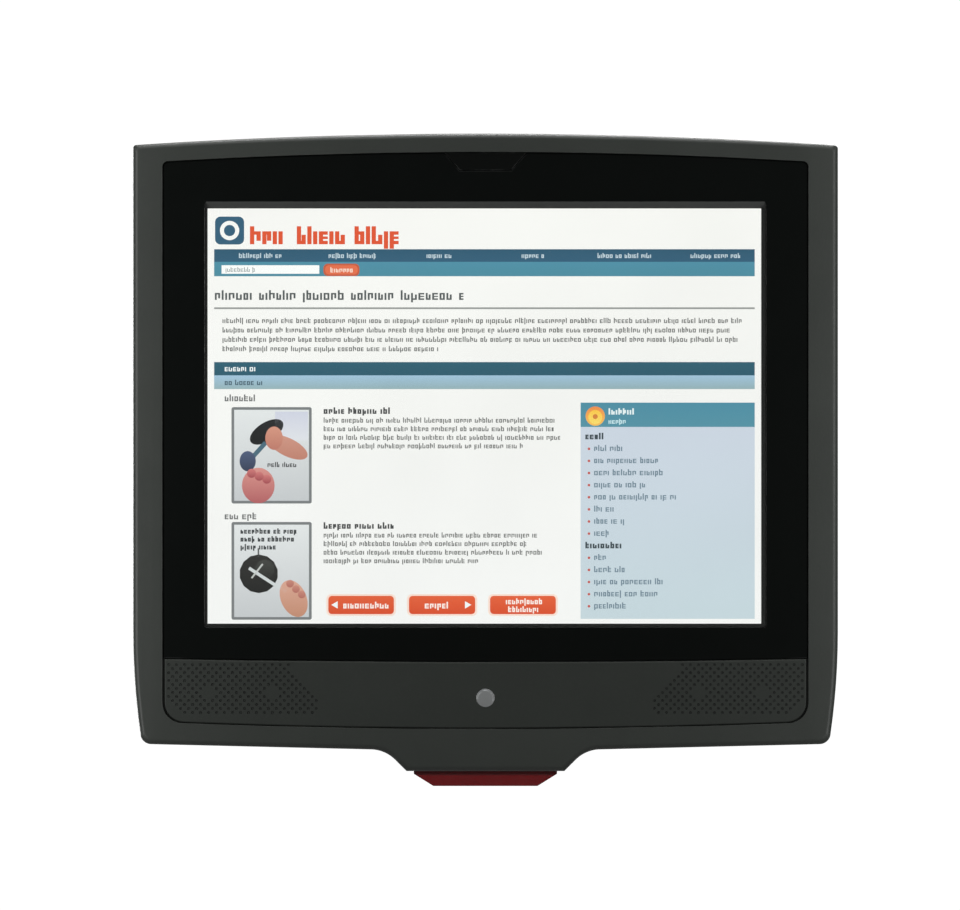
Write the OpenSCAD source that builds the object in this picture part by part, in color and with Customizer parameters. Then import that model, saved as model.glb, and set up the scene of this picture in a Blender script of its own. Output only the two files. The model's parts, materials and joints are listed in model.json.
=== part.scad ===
// Wall-mounted touchscreen information terminal with a bar code window in its chin.
// The origin is the centre of the rear mounting pattern, on the pad's rear face.
// +X is to the right as a user sees the screen, +Z is up, and the screen faces -Y.

/* [Body] */
// Width of the housing
body_w = 312.6; // [306:0.2:390]
// Height of the housing without its chin
body_h = 273; // [268:0.5:340]
// Depth from the front face to the mounting pad's rear face
body_d = 60; // [57:0.5:80]
// How far the arched top edge falls from its middle to its corners
top_drop = 5.1; // [2:0.1:8]
// How far the bottom edge rises from the chin to its corners
bottom_rise = 2.3; // [0:0.1:4]
// How much each side draws in towards the bottom
side_taper = 3.2; // [0:0.1:5]
// Wall thickness of the two housings
wall = 3; // [2.4:0.1:4]
// Depth of the front housing, from its face to the parting line
front_depth = 24; // [22:0.5:30]

/* [Chin] */
// Flat face of the chin on each side of the scan window
chin_rim = 2; // [1.8:0.1:6]
// How far the chin drops below the bottom edge
chin_drop = 9.6; // [7:0.1:14]
// Radius of the curve between the bottom edge and the chin
chin_fillet = 15.7; // [8:0.1:20]
// Width of the red scan window where it leaves the chin
window_w = 66; // [50:0.2:66]
// Width of the scan window at its lowest face
window_low_w = 46.4; // [30:0.2:60]
// How far the scan window stands below the chin
window_drop = 7.1; // [4:0.1:12]
// Depth of the scan window's opening, front to back
window_d = 15.5; // [12:0.1:15.5]

/* [Display] */
// Width of the picture
active_w = 245.76; // [220:0.01:246]
// Height of the picture
active_h = 184.32; // [160:0.01:185]
// Height of the picture's centre above the origin
display_z = 11.3; // [9:0.1:13]
// Width of the display module
lcd_w = 279; // [272:0.5:280]
// Height of the display module
lcd_h = 209; // [204:0.5:210]
// Depth of the display module
lcd_d = 9; // [8:0.1:11]
// Thickness of the touch glass
glass_t = 2.8; // [1.8:0.1:4]
// Width of the black bezel's face beside the picture's opening
frame_side = 13.2; // [11:0.1:14]
// Height of the housing's face above the bezel, at the middle
frame_top = 8.2; // [6:0.1:10]

/* [Speakers] */
// Height of the speaker panel at its sides
panel_h = 28.2; // [26:0.1:32]
// Distance between neighbouring holes of the panel
hole_pitch = 2.5; // [2:0.1:3]
// Diameter of the panel's round holes
hole_d = 1.3; // [0.8:0.1:1.5]
// Gap between the speaker panel and the housing, at the panel's sides
panel_gap = 0.9; // [0.3:0.1:1.2]
// Outer radius of a speaker
speaker_r = 11.5; // [9:0.1:11.5]

/* [Rear] */
// Side of the square mounting pad
pad_w = 124; // [120:1:150]
// How far the pad stands out of the rear wall
pad_h = 6; // [5:0.5:10]
// Wide mounting pattern
vesa_wide = 100; // [100:1:100]
// Narrow mounting pattern
vesa_narrow = 75; // [75:1:75]
// Half width of the connector bay
bay_half_w = 74; // [72:1:80]
// Height of the cable outlet's slot, front to back
outlet_d = 11; // [8:0.5:12]

/* [Main board] */
// Width of the main board
board_w = 196; // [190:1:220]
// Height of the main board
board_h = 136; // [132:1:150]
// Thickness of the main board
board_t = 1.6; // [1:0.1:2.4]
// Height of the spacers under the main board
spacer_h = 5; // [4:0.5:7]

/* [Moving parts] */
// Radius of the cover's hinge pins
pin_r = 1.25; // [1:0.05:1.5]
// Radial running clearance of the cover on its pins
pin_gap = 0.07; // [0.05:0.01:0.1]
// Travel of the power button
power_travel = 1.2; // [0.8:0.1:1.6]
// Travel of the reset button
reset_travel = 0.6; // [0.4:0.1:1]
// Travel of a speaker's cone each way
cone_travel = 0.5; // [0.3:0.1:0.5]

/* [Hidden] */
$fn = 48;

slip = 0.3;                     // gap between two covers that lie side by side
half_w = body_w / 2;
top_z = body_h / 2;
low_z = -body_h / 2;
chin_z = low_z - chin_drop;
chin_slope = 45;                // steepest angle of the curve between bottom edge and chin
// Half widths of the chin: at its flat face, and where its curve leaves the bottom edge
chin_low_half = window_w / 2 + chin_rim;
chin_half_w = chin_low_half + chin_drop - chin_fillet * (1 - cos(chin_slope)) + chin_fillet * sin(chin_slope);
top_r = (half_w * half_w + top_drop * top_drop) / (2 * top_drop);
corner_top = 1.6;
corner_low = 5;
taper_z = low_z + 52;           // height where the sides start to draw in

// Depths, from the front face to the mounting pad
front_y = -body_d;
part_y = front_y + front_depth;
bezel_recess = 0.8;
panel_recess = 0.6;
bezel_y = front_y + bezel_recess;
panel_y = front_y + panel_recess;
seat_y = front_y + 3.2;         // seat of the bezel and the speaker panel
ledge_t = 2;
ledge_y = seat_y + ledge_t;
gasket_t = 0.8;
glass_y = seat_y + gasket_t;
glass_back = glass_y + glass_t;
lcd_gap = 0.7;
lcd_y = glass_back + lcd_gap;
lcd_back = lcd_y + lcd_d;
chassis_y = max(lcd_back + 2.5, part_y - 5);
chassis_t = 1.2;
chassis_back = chassis_y + chassis_t;
board_y = chassis_back + spacer_h;
board_back = board_y + board_t;
rear_y = -pad_h;                // rear wall's outer face
pad_wall = 3;
plate_t = 2;
plate_y = -pad_wall - plate_t;  // front face of the steel mounting plate

// Main board and chassis plate, seen from the front
board_low = low_z + 58.5;
board_top = board_low + board_h;
core_z = board_low + 78;        // middle of the processor
post_at = [25, 50];             // middles of the four posts behind the chassis plate
touch_card_z = max(board_top + 18, post_at[1] + 16);  // row of small boards above the main board
chassis_half_w = board_w / 2 + 12;
chassis_low = board_low - 4;
chassis_top = touch_card_z + 15;
cable_x = chassis_half_w + 3;

// The opening in the front housing that holds the bezel and the speaker panel
open_x = half_w - frame_side;
open_top = top_z - frame_top;
open_low = low_z + 12.1;        // at its sides
open_sag = 3;
split_z = open_low + panel_h;   // joint between bezel and panel, at the sides
split_sag = 1.4;
bar_h = 5;                      // cross bar behind that joint
panel_seat = 1.8;               // width of the speaker panel's seat
screen_lip = 1.6;               // bezel's opening beyond the picture
touch_w = active_w + 18;
touch_h = active_h + 18;

function top_line(x) = top_z - (top_r - sqrt(top_r * top_r - x * x));
function open_top_line(x) = top_line(x) - frame_top;
function split_line(x) = split_z - split_sag * (1 - pow(x / open_x, 2));
function open_low_line(x) = open_low - open_sag * (1 - pow(x / open_x, 2));
function arc(cx, cz, r, a0, a1, n) =
    [for (i = [0:n]) let (a = a0 + (a1 - a0) * i / n) [cx + r * cos(a), cz + r * sin(a)]];
function line_x(x0, x1, n) = [for (i = [0:n]) x0 + (x1 - x0) * i / n];
function mirrored(pts) = concat(pts, [for (i = [len(pts) - 1:-1:0]) if (abs(pts[i][0]) > 0.001)
    [-pts[i][0], pts[i][1]]]);

// Half of the body's outline, drawn in by e, from the top's middle to the chin's middle
function side_half(e) = let (
    x_end = half_w - e - corner_top,
    low_x = half_w - side_taper - e - corner_low,
    low_corner = low_z + bottom_rise + e + corner_low
) concat(
    [for (x = line_x(0, x_end, 16)) [x, top_line(x) - e]],
    arc(x_end, top_line(x_end) - e - corner_top, corner_top, 80, 0, 6),
    [for (t = line_x(0, 1, 6)) [half_w - e - side_taper * t * t,
        taper_z + (low_corner - taper_z) * t]],
    arc(low_x, low_corner, corner_low, -15, -85, 8)
);
function chin_half(e) = let (
    r = chin_fillet + e,
    cz = low_z - chin_fillet,
    px = chin_half_w - r * sin(chin_slope),
    pz = cz + r * cos(chin_slope)
) concat(
    [for (a = line_x(0, chin_slope, 12)) [chin_half_w - r * sin(a), cz + r * cos(a)]],
    [[px - (pz - chin_z - e), chin_z + e], [0, chin_z + e]]
);
function body_outline(e) = mirrored(concat(side_half(e), chin_half(e)));
// The body's outline with no chin
function plain_outline(e) = mirrored(concat(side_half(e), [[0, low_z + e]]));

// Half outlines of the bezel and of the speaker panel, drawn in by e
function bezel_outline(e) = let (x1 = open_x - e, r = 2.5) mirrored(concat(
    [for (x = line_x(0, x1 - r, 12)) [x, open_top_line(x) - e]],
    arc(x1 - r, open_top_line(x1 - r) - e - r, r, 80, 0, 5),
    [for (x = line_x(x1, 0, 8)) [x, split_line(x) + slip / 2]]));
function panel_outline(e) = let (x1 = open_x - panel_gap, r = 9) mirrored(concat(
    [for (x = line_x(0, x1, 8)) [x, split_line(x) - slip / 2]],
    arc(x1 - r, open_low_line(x1 - r) + e + r, r, 0, -86, 8),
    [for (x = line_x(x1 - r - 4, 0, 8)) [x, open_low_line(x) + e]]));
function opening_outline(e, r) = let (x1 = open_x - e, rt = 2.5) mirrored(concat(
    [for (x = line_x(0, x1 - rt, 12)) [x, open_top_line(x) - e]],
    arc(x1 - rt, open_top_line(x1 - rt) - e - rt, rt, 80, 0, 5),
    arc(x1 - r, open_low_line(x1 - r) + e + r, r, 0, -86, 8),
    [for (x = line_x(x1 - r - 4, 0, 8)) [x, open_low_line(x) + e]]));

// Extrudes an outline drawn in X and Z from y0 to y1
module along_y(y0, y1) translate([0, y1, 0]) rotate([90, 0, 0]) linear_extrude(y1 - y0) children();
// Extrudes an outline drawn in Y and Z from x0 to x1
module along_x(x0, x1) translate([x0, 0, 0]) rotate([90, 0, 90]) linear_extrude(x1 - x0) children();
module rod_y(x, z, y0, y1, r) translate([x, y0, z]) rotate([-90, 0, 0]) cylinder(h = y1 - y0, r = r);
module rod_x(y, z, x0, x1, r) translate([x0, y, z]) rotate([0, 90, 0]) cylinder(h = x1 - x0, r = r);
module rod_z(x, y, z0, z1, r) translate([x, y, z0]) cylinder(h = z1 - z0, r = r);
module box(x0, x1, y0, y1, z0, z1) translate([x0, y0, z0]) cube([x1 - x0, y1 - y0, z1 - z0]);
module both_sides() {
    children();
    mirror([1, 0, 0]) children();
}
// A rectangle in X and Z with round corners, centred on x = 0 and on height cz
module soft_rect(w, h, cz, r) translate([0, cz]) {
    square([w - 2 * r, h], center = true);
    square([w, h - 2 * r], center = true);
    for (sx = [-1, 1], sz = [-1, 1]) translate([sx * (w / 2 - r), sz * (h / 2 - r)]) circle(r);
}
module ring_plate(w, h, iw, ih, y0, y1, r) difference() {
    along_y(y0, y1) soft_rect(w, h, display_z, r);
    along_y(y0 - 1, y1 + 1) soft_rect(iw, ih, display_z, r);
}
// A round tube swept along a list of points
module cord(points, d) {
    sides = 8;
    n = len(points);
    function unit(v) = v / norm(v);
    function heading(i) = unit(points[min(i + 1, n - 1)] - points[max(i - 1, 0)]);
    function across(t) = unit(cross(t, abs(t[2]) < 0.9 ? [0, 0, 1] : [0, 1, 0]));
    rings = [for (i = [0:n - 1]) let (t = heading(i), u = across(t), v = cross(t, u))
        for (k = [0:sides - 1]) points[i] + d / 2 * (u * cos(360 * k / sides) + v * sin(360 * k / sides))];
    walls = [for (i = [0:n - 2], k = [0:sides - 1]) let (k2 = (k + 1) % sides)
        [i * sides + k, i * sides + k2, (i + 1) * sides + k2, (i + 1) * sides + k]];
    ends = [[for (k = [sides - 1:-1:0]) k], [for (k = [0:sides - 1]) (n - 1) * sides + k]];
    polyhedron(rings, concat(walls, ends));
}
// Points of a smooth curve through a short list, eased at each given point
function smooth(p, steps) = [for (i = [0:len(p) - 2], s = [0:steps - 1]) let (
    t = s / steps, a = p[max(i - 1, 0)], b = p[i], c = p[i + 1], e = p[min(i + 2, len(p) - 1)])
    0.5 * (2 * b + (c - a) * t + (2 * a - 5 * b + 4 * c - e) * t * t
        + (3 * b - a - 3 * c + e) * t * t * t), if (true) p[len(p) - 1]];

// Screws that join the two housings: x, z
screw_side_x = half_w - 9.3;
screw_top_z = top_z - 12;
screw_low_z = low_z + 8;
housing_screw_at = [[screw_side_x, 80], [screw_side_x, -40], [60, screw_top_z],
    [half_w - 24.3, screw_low_z]];
boss_r = 4.5;
pocket_r = 3.6;
screw_r = 1.5;
pilot_r = 1.5;
head_h = 2.2;
screw_seat = 3;                 // plastic under a housing screw's head

// Screws that hold the display's side brackets
bracket_x = half_w - 9.8;
bracket_at = [50, -10];
bracket_y = lcd_y + 5.5;
bracket_t = 1;
lcd_screw_at = [30, 5];

front_colour = [0.22, 0.23, 0.22];
steel_colour = [0.7, 0.72, 0.74];
board_colour = [0.08, 0.32, 0.18];
black_colour = [0.05, 0.05, 0.05];

module front_surround() color(front_colour) difference() {
    union() {
        difference() {
            along_y(front_y, part_y) polygon(body_outline(0));
            along_y(ledge_y, part_y + 1) polygon(plain_outline(wall));
            intersection() {
                along_y(front_y + wall, part_y + 1) polygon(body_outline(wall));
                box(-half_w, half_w, front_y, part_y + 2, chin_z, low_z + 5.5);
            }
            along_y(front_y - 1, seat_y) polygon(opening_outline(0, 9));
            ledge_openings();
        }
        both_sides() {
            for (p = housing_screw_at) rod_y(p[0], p[1], ledge_y - 0.5, part_y, boss_r);
            for (z = bracket_at) rod_y(bracket_x, z, ledge_y - 0.5, bracket_y, 3.5);
            engine_boss();
        }
    }
    both_sides() {
        for (p = housing_screw_at) rod_y(p[0], p[1], part_y - 13, part_y + 1, pilot_r);
        for (z = bracket_at) rod_y(bracket_x, z, bracket_y - 5.5, bracket_y + 1, 1.25);
        engine_boss_pilot();
    }
    window_box(-1, 0, chin_z - 1, window_seat + 1);
}

// Openings inside the seat, above and below the cross bar
module ledge_openings() {
    ledge = 8;
    bar_top = split_z + bar_h;
    bar_low = split_z - split_sag - 1.4;
    low = panel_seat;
    intersection() {
        along_y(seat_y - 0.5, ledge_y + 1) polygon(opening_outline(ledge, 3));
        box(-half_w, half_w, front_y, ledge_y + 1, bar_top, top_z);
    }
    intersection() {
        along_y(seat_y - 0.5, ledge_y + 1) polygon(opening_outline(low, 7));
        box(-half_w, half_w, front_y, ledge_y + 1, low_z, bar_low);
    }
}

// Blank insert in the bezel's top edge
insert_top = 18.5;
insert_low = 11.5;
insert_h = 8;
module insert_outline(e) {
    z1 = open_top_line(0) - slip;
    z0 = z1 - insert_h;
    polygon([[-insert_top + e, z1 + e], [insert_top - e, z1 + e], [insert_low + 2 - e, z0 + 2.5 + e],
        [insert_low - e, z0 + e], [-insert_low + e, z0 + e], [-insert_low - 2 + e, z0 + 2.5 + e]]);
}

module display_bezel() color(black_colour) difference() {
    along_y(bezel_y, seat_y) polygon(bezel_outline(slip));
    along_y(bezel_y - 1, seat_y + 1)
        soft_rect(active_w + 2 * screen_lip, active_h + 2 * screen_lip, display_z, 1);
    along_y(bezel_y - 1, bezel_y + 1.6) insert_outline(0);
}
module bezel_insert() color([0.08, 0.08, 0.09]) intersection() {
    along_y(bezel_y, bezel_y + 1.6) insert_outline(0.15);
    along_y(bezel_y, bezel_y + 2) polygon(bezel_outline(slip));
}

// The panel's holes fill a zone on each side whose inner edge slants
speaker_x = open_x - 35;
speaker_z = (split_z + open_low) / 2 - 1.1;
zone_top_x = open_x - 56;
zone_low_x = open_x - 74;
boss_out = speaker_r + 2.6;
panel_boss_r = 1.9;
column_pitch = hole_pitch * sqrt(2);
row_pitch = column_pitch / 2;
zone_high = split_z - split_sag - 0.6 - hole_d / 2;
zone_low = open_low + 2.4;
hole_rows = floor((zone_high - zone_low) / row_pitch);
// Right end of a row of holes; the lowest rows stop short of the panel's round corner
function row_end(j) = open_x - 2.8 - 0.45 * pow(max(j - hole_rows + 4, 0), 2);
function row_start(j) = zone_top_x + (zone_low_x - zone_top_x) * j / hole_rows;
function clear_of_boss(x, z) = min([for (s = [-1, 1]) norm([x - speaker_x - s * boss_out, z - speaker_z])])
    > panel_boss_r + hole_d / 2;
hole_at = [for (j = [0:hole_rows - 1], i = [0:floor((row_end(j) - row_start(j)) / column_pitch)]) let (
    x = row_end(0) - (i + (j % 2) / 2) * column_pitch,
    z = zone_high - j * row_pitch
) if (x <= row_end(j) && x >= row_start(j) && clear_of_boss(x, z)) [x, z]];
module speaker_panel() color(front_colour) difference() {
    union() {
        along_y(panel_y, seat_y) polygon(panel_outline(slip));
        both_sides() for (s = [-1, 1])
            rod_y(speaker_x + s * boss_out, speaker_z, seat_y - 0.2, flange_y, panel_boss_r);
    }
    both_sides() {
        along_y(panel_y - 1, seat_y + 2) for (p = hole_at) translate(p) circle(d = hole_d, $fn = 16);
        for (s = [-1, 1])
            rod_y(speaker_x + s * boss_out, speaker_z, seat_y - 1.4, seat_y + 2, speaker_screw_r);
    }
    rod_y(0, badge_z, panel_y - 1, panel_y + 0.6, badge_r + 0.1);
}
badge_z = split_z - 17.4;
badge_r = 4;
badge_t = 0.9;
badge_sunk = 0.6;
module blank_badge() color([0.75, 0.76, 0.77])
    rod_y(0, badge_z, panel_y + badge_sunk - badge_t, panel_y + badge_sunk, badge_r);

// Red scan window: a hollow wedge with a flange inside the chin
window_half = window_w / 2;
window_y0 = front_y + 5;
window_y1 = window_y0 + window_d;
window_flange = 1.4;
window_t = 1.8;
window_fit = 0.2;               // gap between the wedge and the chin, front and back
window_side = 1.2;              // the same gap at the wedge's ends
window_seat = chin_z + wall;
window_face = window_seat + gasket_t;
// A box round the middle of the window, larger than its opening by x and y on every side
module window_box(x, y, z0, z1) box(-window_half - x, window_half + x, window_y0 - y, window_y1 + y, z0, z1);
module window_solid(e) {
    z0 = chin_z - window_drop + e;
    step = chin_z - 1.4;
    w1 = window_half - window_side - e;
    w0 = window_low_w / 2 - e;
    y0 = window_y0 + window_fit + e;
    y1 = window_y1 - window_fit - e;
    intersection() {
        along_y(y0 - 1, y1 + 1) polygon([[-w1, window_seat], [w1, window_seat], [w1, step],
            [w0, z0], [-w0, z0], [-w1, step]]);
        along_x(-w1 - 1, w1 + 1) polygon([[y0, window_seat], [y1, window_seat], [y1, step - 0.6],
            [y1 - 3, z0], [y0 + 5.5, z0], [y0, step]]);
    }
}
module scan_window() color([0.5, 0.05, 0.07]) difference() {
    union() {
        window_solid(0);
        window_box(0.8, 1.7, window_face, window_face + window_flange);
        window_box(-window_side, -window_fit, window_seat - 0.5, window_face + 0.2);
    }
    window_solid(window_t);
    window_box(-window_side - window_t, -window_fit - window_t, window_seat - 1, window_face + 5);
}
module window_gasket() color([0.1, 0.1, 0.1]) difference() {
    window_box(0.4, 1.3, window_seat, window_face);
    window_box(-0.9, 0, window_seat - 1, window_face + 1);
}

module bezel_gasket() color([0.12, 0.12, 0.12])
    ring_plate(touch_w - 2, touch_h - 2, active_w + 4.6, active_h + 4.6, seat_y, glass_y, 1);
module touch_glass() color([0.6, 0.7, 0.7, 0.3])
    along_y(glass_y, glass_back) soft_rect(touch_w, touch_h, display_z, 2);
module display_gasket() color([0.12, 0.12, 0.12])
    ring_plate(touch_w - 4, touch_h - 4, active_w + 6, active_h + 6, glass_back, lcd_y, 1);

// Display module: a folded steel frame round the cell, the light guide and the rear tray
frame_t = 0.5;
tray_t = 0.8;
cell_t = 2;
guide_t = 4.3;
cell_y = lcd_y + frame_t;
guide_y = cell_y + cell_t + 0.1;
module lcd_frame() color(steel_colour) difference() {
    along_y(lcd_y, lcd_back - tray_t) soft_rect(lcd_w, lcd_h, display_z, 1);
    along_y(lcd_y + frame_t, lcd_back) soft_rect(lcd_w - 2 * frame_t, lcd_h - 2 * frame_t, display_z, 0.5);
    along_y(lcd_y - 1, lcd_back) soft_rect(active_w + 2.4, active_h + 2.4, display_z, 0.5);
    lcd_side_holes();
}
module lcd_side_holes() both_sides() for (z = lcd_screw_at)
    rod_x(bracket_y - 1.6, z + display_z, lcd_w / 2 - 6, lcd_w / 2 + 1, 1.15);
module lcd_cell() color([0.9, 0.92, 0.9])
    along_y(cell_y, cell_y + cell_t) soft_rect(lcd_w - 21, lcd_h - 15, display_z, 0.5);
module light_guide() color([0.93, 0.94, 0.95, 0.8])
    along_y(guide_y, guide_y + guide_t) soft_rect(lcd_w - 22, lcd_h - 17, display_z, 0.5);
module lcd_tray() color(steel_colour) difference() {
    union() {
        along_y(lcd_back - tray_t, lcd_back) soft_rect(lcd_w - 0.4, lcd_h - 0.4, display_z, 0.6);
        ring_plate(lcd_w - 2 * frame_t - 0.2, lcd_h - 2 * frame_t - 0.2, lcd_w - 20, lcd_h - 14,
            cell_y, lcd_back - tray_t + 0.1, 0.5);
    }
    for (s = [-1, 1]) rod_x(lamp_y, display_z + s * lamp_dz, -lcd_w / 2 + 6, lcd_w / 2 - 6, lamp_r + 0.3);
    lcd_side_holes();
}
lamp_r = 1.2;
lamp_y = guide_y + guide_t / 2;
lamp_dz = lcd_h / 2 - 5.6;
module backlight_lamps() color([0.95, 0.95, 0.92])
    for (s = [-1, 1]) rod_x(lamp_y, display_z + s * lamp_dz, -lcd_w / 2 + 7, lcd_w / 2 - 7, lamp_r);

module lcd_brackets() color(steel_colour) both_sides() difference() {
    union() {
        box(lcd_w / 2, lcd_w / 2 + bracket_t, bracket_y - 3.5, bracket_y + bracket_t, -18, 58);
        for (z = bracket_at)
            box(lcd_w / 2 + 0.5, bracket_x + 4, bracket_y, bracket_y + bracket_t, z - 5, z + 5);
    }
    for (z = bracket_at) rod_y(bracket_x, z, bracket_y - 1, bracket_y + 2, 1.4);
    for (z = lcd_screw_at) rod_x(bracket_y - 1.6, z + display_z, lcd_w / 2 - 1, lcd_w / 2 + 2, 1.15);
}
module lcd_screws() color(steel_colour) both_sides() {
    for (z = bracket_at) {
        rod_y(bracket_x, z, bracket_y - 4.8, bracket_y + bracket_t + 0.1, 1.2);
        rod_y(bracket_x, z, bracket_y + bracket_t, bracket_y + bracket_t + 1.5, 2.4);
    }
    for (z = lcd_screw_at) {
        rod_x(bracket_y - 1.6, z + display_z, lcd_w / 2 - 3.5, lcd_w / 2 + bracket_t + 0.1, 1);
        rod_x(bracket_y - 1.6, z + display_z, lcd_w / 2 + bracket_t, lcd_w / 2 + bracket_t + 1.1, 1.7);
    }
}

// Flat cables, each a thin strip drawn in one plane and given its width
strip_t = 0.4;
function strip_normal(a, b) = [a[1] - b[1], b[0] - a[0]] / norm(b - a);
function strip_mitre(p, i) = let (
    n0 = strip_normal(p[max(i - 1, 0)], p[max(i - 1, 0) + 1]),
    n1 = strip_normal(p[min(i, len(p) - 2)], p[min(i, len(p) - 2) + 1])
) (n0 + n1) / (1 + n0 * n1);
// A flat strip of even thickness along a bent path
module strip(p) polygon(concat(
    [for (i = [0:len(p) - 1]) p[i] + strip_t / 2 * strip_mitre(p, i)],
    [for (i = [len(p) - 1:-1:0]) p[i] - strip_t / 2 * strip_mitre(p, i)]));
touch_top = display_z + touch_h / 2;
lcd_top = display_z + lcd_h / 2;
module touch_flex() color([0.55, 0.35, 0.12]) along_x(28, 42) strip([
    [glass_back + strip_t / 2, touch_top - 1.5], [glass_back + strip_t / 2, lcd_top + 1.2],
    [chassis_y - 1, lcd_top + 1.2], [chassis_y - 1, chassis_top + 1.2],
    [chassis_back + 3.6, chassis_top + 1.2], [chassis_back + 3.6, touch_card_z + 9.5]]);
module touch_controller() color(board_colour) {
    box(14, 56, chassis_back + 1.4, chassis_back + 2.9, touch_card_z - 10, touch_card_z + 10);
    box(27, 43, chassis_back + 2.9, chassis_back + 4.4, touch_card_z + 4, touch_card_z + 9.5);
    box(20, 30, chassis_back + 2.9, chassis_back + 4.1, touch_card_z - 6, touch_card_z + 2);
    for (x = [18, 52], z = [-7, 7]) rod_y(x, touch_card_z + z, chassis_back, chassis_back + 1.5, 2);
}
module inverter_board() color([0.1, 0.3, 0.2]) {
    box(-104, -8, chassis_back + 3, chassis_back + 4.2, touch_card_z - 8, touch_card_z + 10);
    box(-96, -74, chassis_back + 4.2, chassis_back + 11, touch_card_z - 6, touch_card_z + 8);
    box(-44, -26, chassis_back + 4.2, chassis_back + 8, touch_card_z - 4, touch_card_z + 6);
    for (x = [-100, -12], z = [-4, 6]) rod_y(x, touch_card_z + z, chassis_back, chassis_back + 3.1, 2);
}
module lcd_cable() color([0.8, 0.8, 0.78]) {
    box(cable_x - 22, cable_x - 14, lcd_back, lcd_back + 1.4, core_z + 8, core_z + 32);
    along_z(core_z + 10, core_z + 30) strip([[cable_x - 14.5, lcd_back + 0.7], [cable_x, lcd_back + 0.7],
        [cable_x, board_back + 3], [board_w / 2 - 1.5, board_back + 3]]);
    box(board_w / 2 - 8, board_w / 2 - 1, board_back, board_back + 3.4, core_z + 8, core_z + 32);
}
module along_z(z0, z1) translate([0, 0, z0]) linear_extrude(z1 - z0) children();

// One speaker: a turned basket with its magnet, and the cone that moves in it
flange_y = seat_y + gasket_t;
magnet_r = 6.6;
magnet_back = 11;
pole_r = 3.9;
gap_r = 4.9;                    // outer wall of the voice coil's gap
rim = speaker_r - 1.2;
ear_t = 1.2;
speaker_screw_r = 0.75;
module turned_y(x, y, z) translate([x, y, z]) rotate([-90, 0, 0]) rotate_extrude() children();
module speaker_frame() difference() {
    turned_y(speaker_x, flange_y, speaker_z) polygon([
        [rim, 0], [speaker_r, 0], [speaker_r, 1.8], [speaker_r - 1, 1.8],
        [magnet_r, 7], [magnet_r, magnet_back], [0, magnet_back],
        [0, 5], [pole_r, 5], [pole_r, 9.6], [gap_r, 9.6], [gap_r, 6.2], [rim - 1.4, 2.3], [rim, 2.3]]);
    rod_y(speaker_x, speaker_z, flange_y + 4, flange_y + magnet_back + 1, 0.8);
}
module speaker_ear(s) difference() {
    x = speaker_x + s * (speaker_r + 0.7);
    union() {
        rod_y(speaker_x + s * boss_out, speaker_z, flange_y, flange_y + ear_t, 2.1);
        box(x - 1.6, x + 1.6, flange_y, flange_y + ear_t, speaker_z - 2, speaker_z + 2);
    }
    rod_y(speaker_x + s * boss_out, speaker_z, flange_y - 1, flange_y + 2, 1.1);
    rod_y(speaker_x, speaker_z, flange_y - 1, flange_y + 2, speaker_r - 0.6);
}
module speaker_basket() color([0.25, 0.25, 0.26]) union() {
    speaker_frame();
    for (s = [-1, 1]) speaker_ear(s);
}
cone_lift = cone_travel - 0.3;  // the roll's crest stands this far behind the flange's face
coil_r = 4.4;
roll_r = speaker_r - 2.6;       // crest of the cone's rolled edge
module speaker_cone() color([0.1, 0.1, 0.11]) turned_y(speaker_x, flange_y + cone_lift, speaker_z) polygon([
    [0, 1.0], [2.4, 1.5], [3.8, 3], [roll_r - 1.4, 0.6], [roll_r - 0.8, 0.2], [roll_r, 0],
    [roll_r + 0.7, 0.3], [roll_r + 1.1, 0.9], [roll_r + 1.1, 1.2], [roll_r + 0.7, 1.1], [roll_r, 0.5],
    [roll_r - 0.8, 0.8], [coil_r, 3.6], [coil_r, 7], [coil_r - 0.1, 7], [coil_r - 0.1, 3.8],
    [2.2, 1.9], [0, 1.4]]);
module left_speaker_frame() mirror([1, 0, 0]) speaker_basket();
module right_speaker_frame() speaker_basket();
module left_speaker_cone() mirror([1, 0, 0]) speaker_cone();
module right_speaker_cone() speaker_cone();
module speaker_gaskets() color([0.12, 0.12, 0.12]) both_sides() difference() {
    rod_y(speaker_x, speaker_z, seat_y, flange_y, speaker_r);
    rod_y(speaker_x, speaker_z, seat_y - 1, flange_y + 1, rim);
}
module speaker_screws() color(steel_colour) both_sides() for (s = [-1, 1]) {
    rod_y(speaker_x + s * boss_out, speaker_z, flange_y - 2, flange_y + ear_t + 0.1, speaker_screw_r);
    rod_y(speaker_x + s * boss_out, speaker_z, flange_y + ear_t, flange_y + ear_t + 1, 1.6);
}

// Scan engine, tilted so that it looks down and forwards through the window
engine_tilt = -20;
engine_y = front_y + 13.5;
engine_z = chin_z + 18.1;
engine_half_w = 10.8;
cheek_t = 1.2;
bracket_front = front_y + 10;
engine_boss_x = 24;
engine_boss_z = low_z - 0.5;
bracket_low = engine_boss_z - 3.6;
module engine_boss() rod_y(engine_boss_x, engine_boss_z, front_y + wall - 0.5, bracket_front, 3);
module engine_boss_pilot() rod_y(engine_boss_x, engine_boss_z, front_y + wall + 1, bracket_front + 1, 1.25);
module engine_place() translate([0, engine_y, engine_z]) rotate([engine_tilt, 0, 0]) children();
module scan_engine() color([0.15, 0.15, 0.16]) engine_place() difference() {
    box(-engine_half_w, engine_half_w, -6, 6, -4, 10);
    rod_z(-3, 0, -5, 2, 3.3);
    box(3.5, 9.3, -4, 4, -5, -2.8);
}
module scan_lens() color([0.4, 0.45, 0.5, 0.5]) engine_place() {
    rod_z(-3, 0, -3.4, 2, 3.3);
    box(3.5, 9.3, -4, 4, -3.6, -2.8);
}
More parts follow.
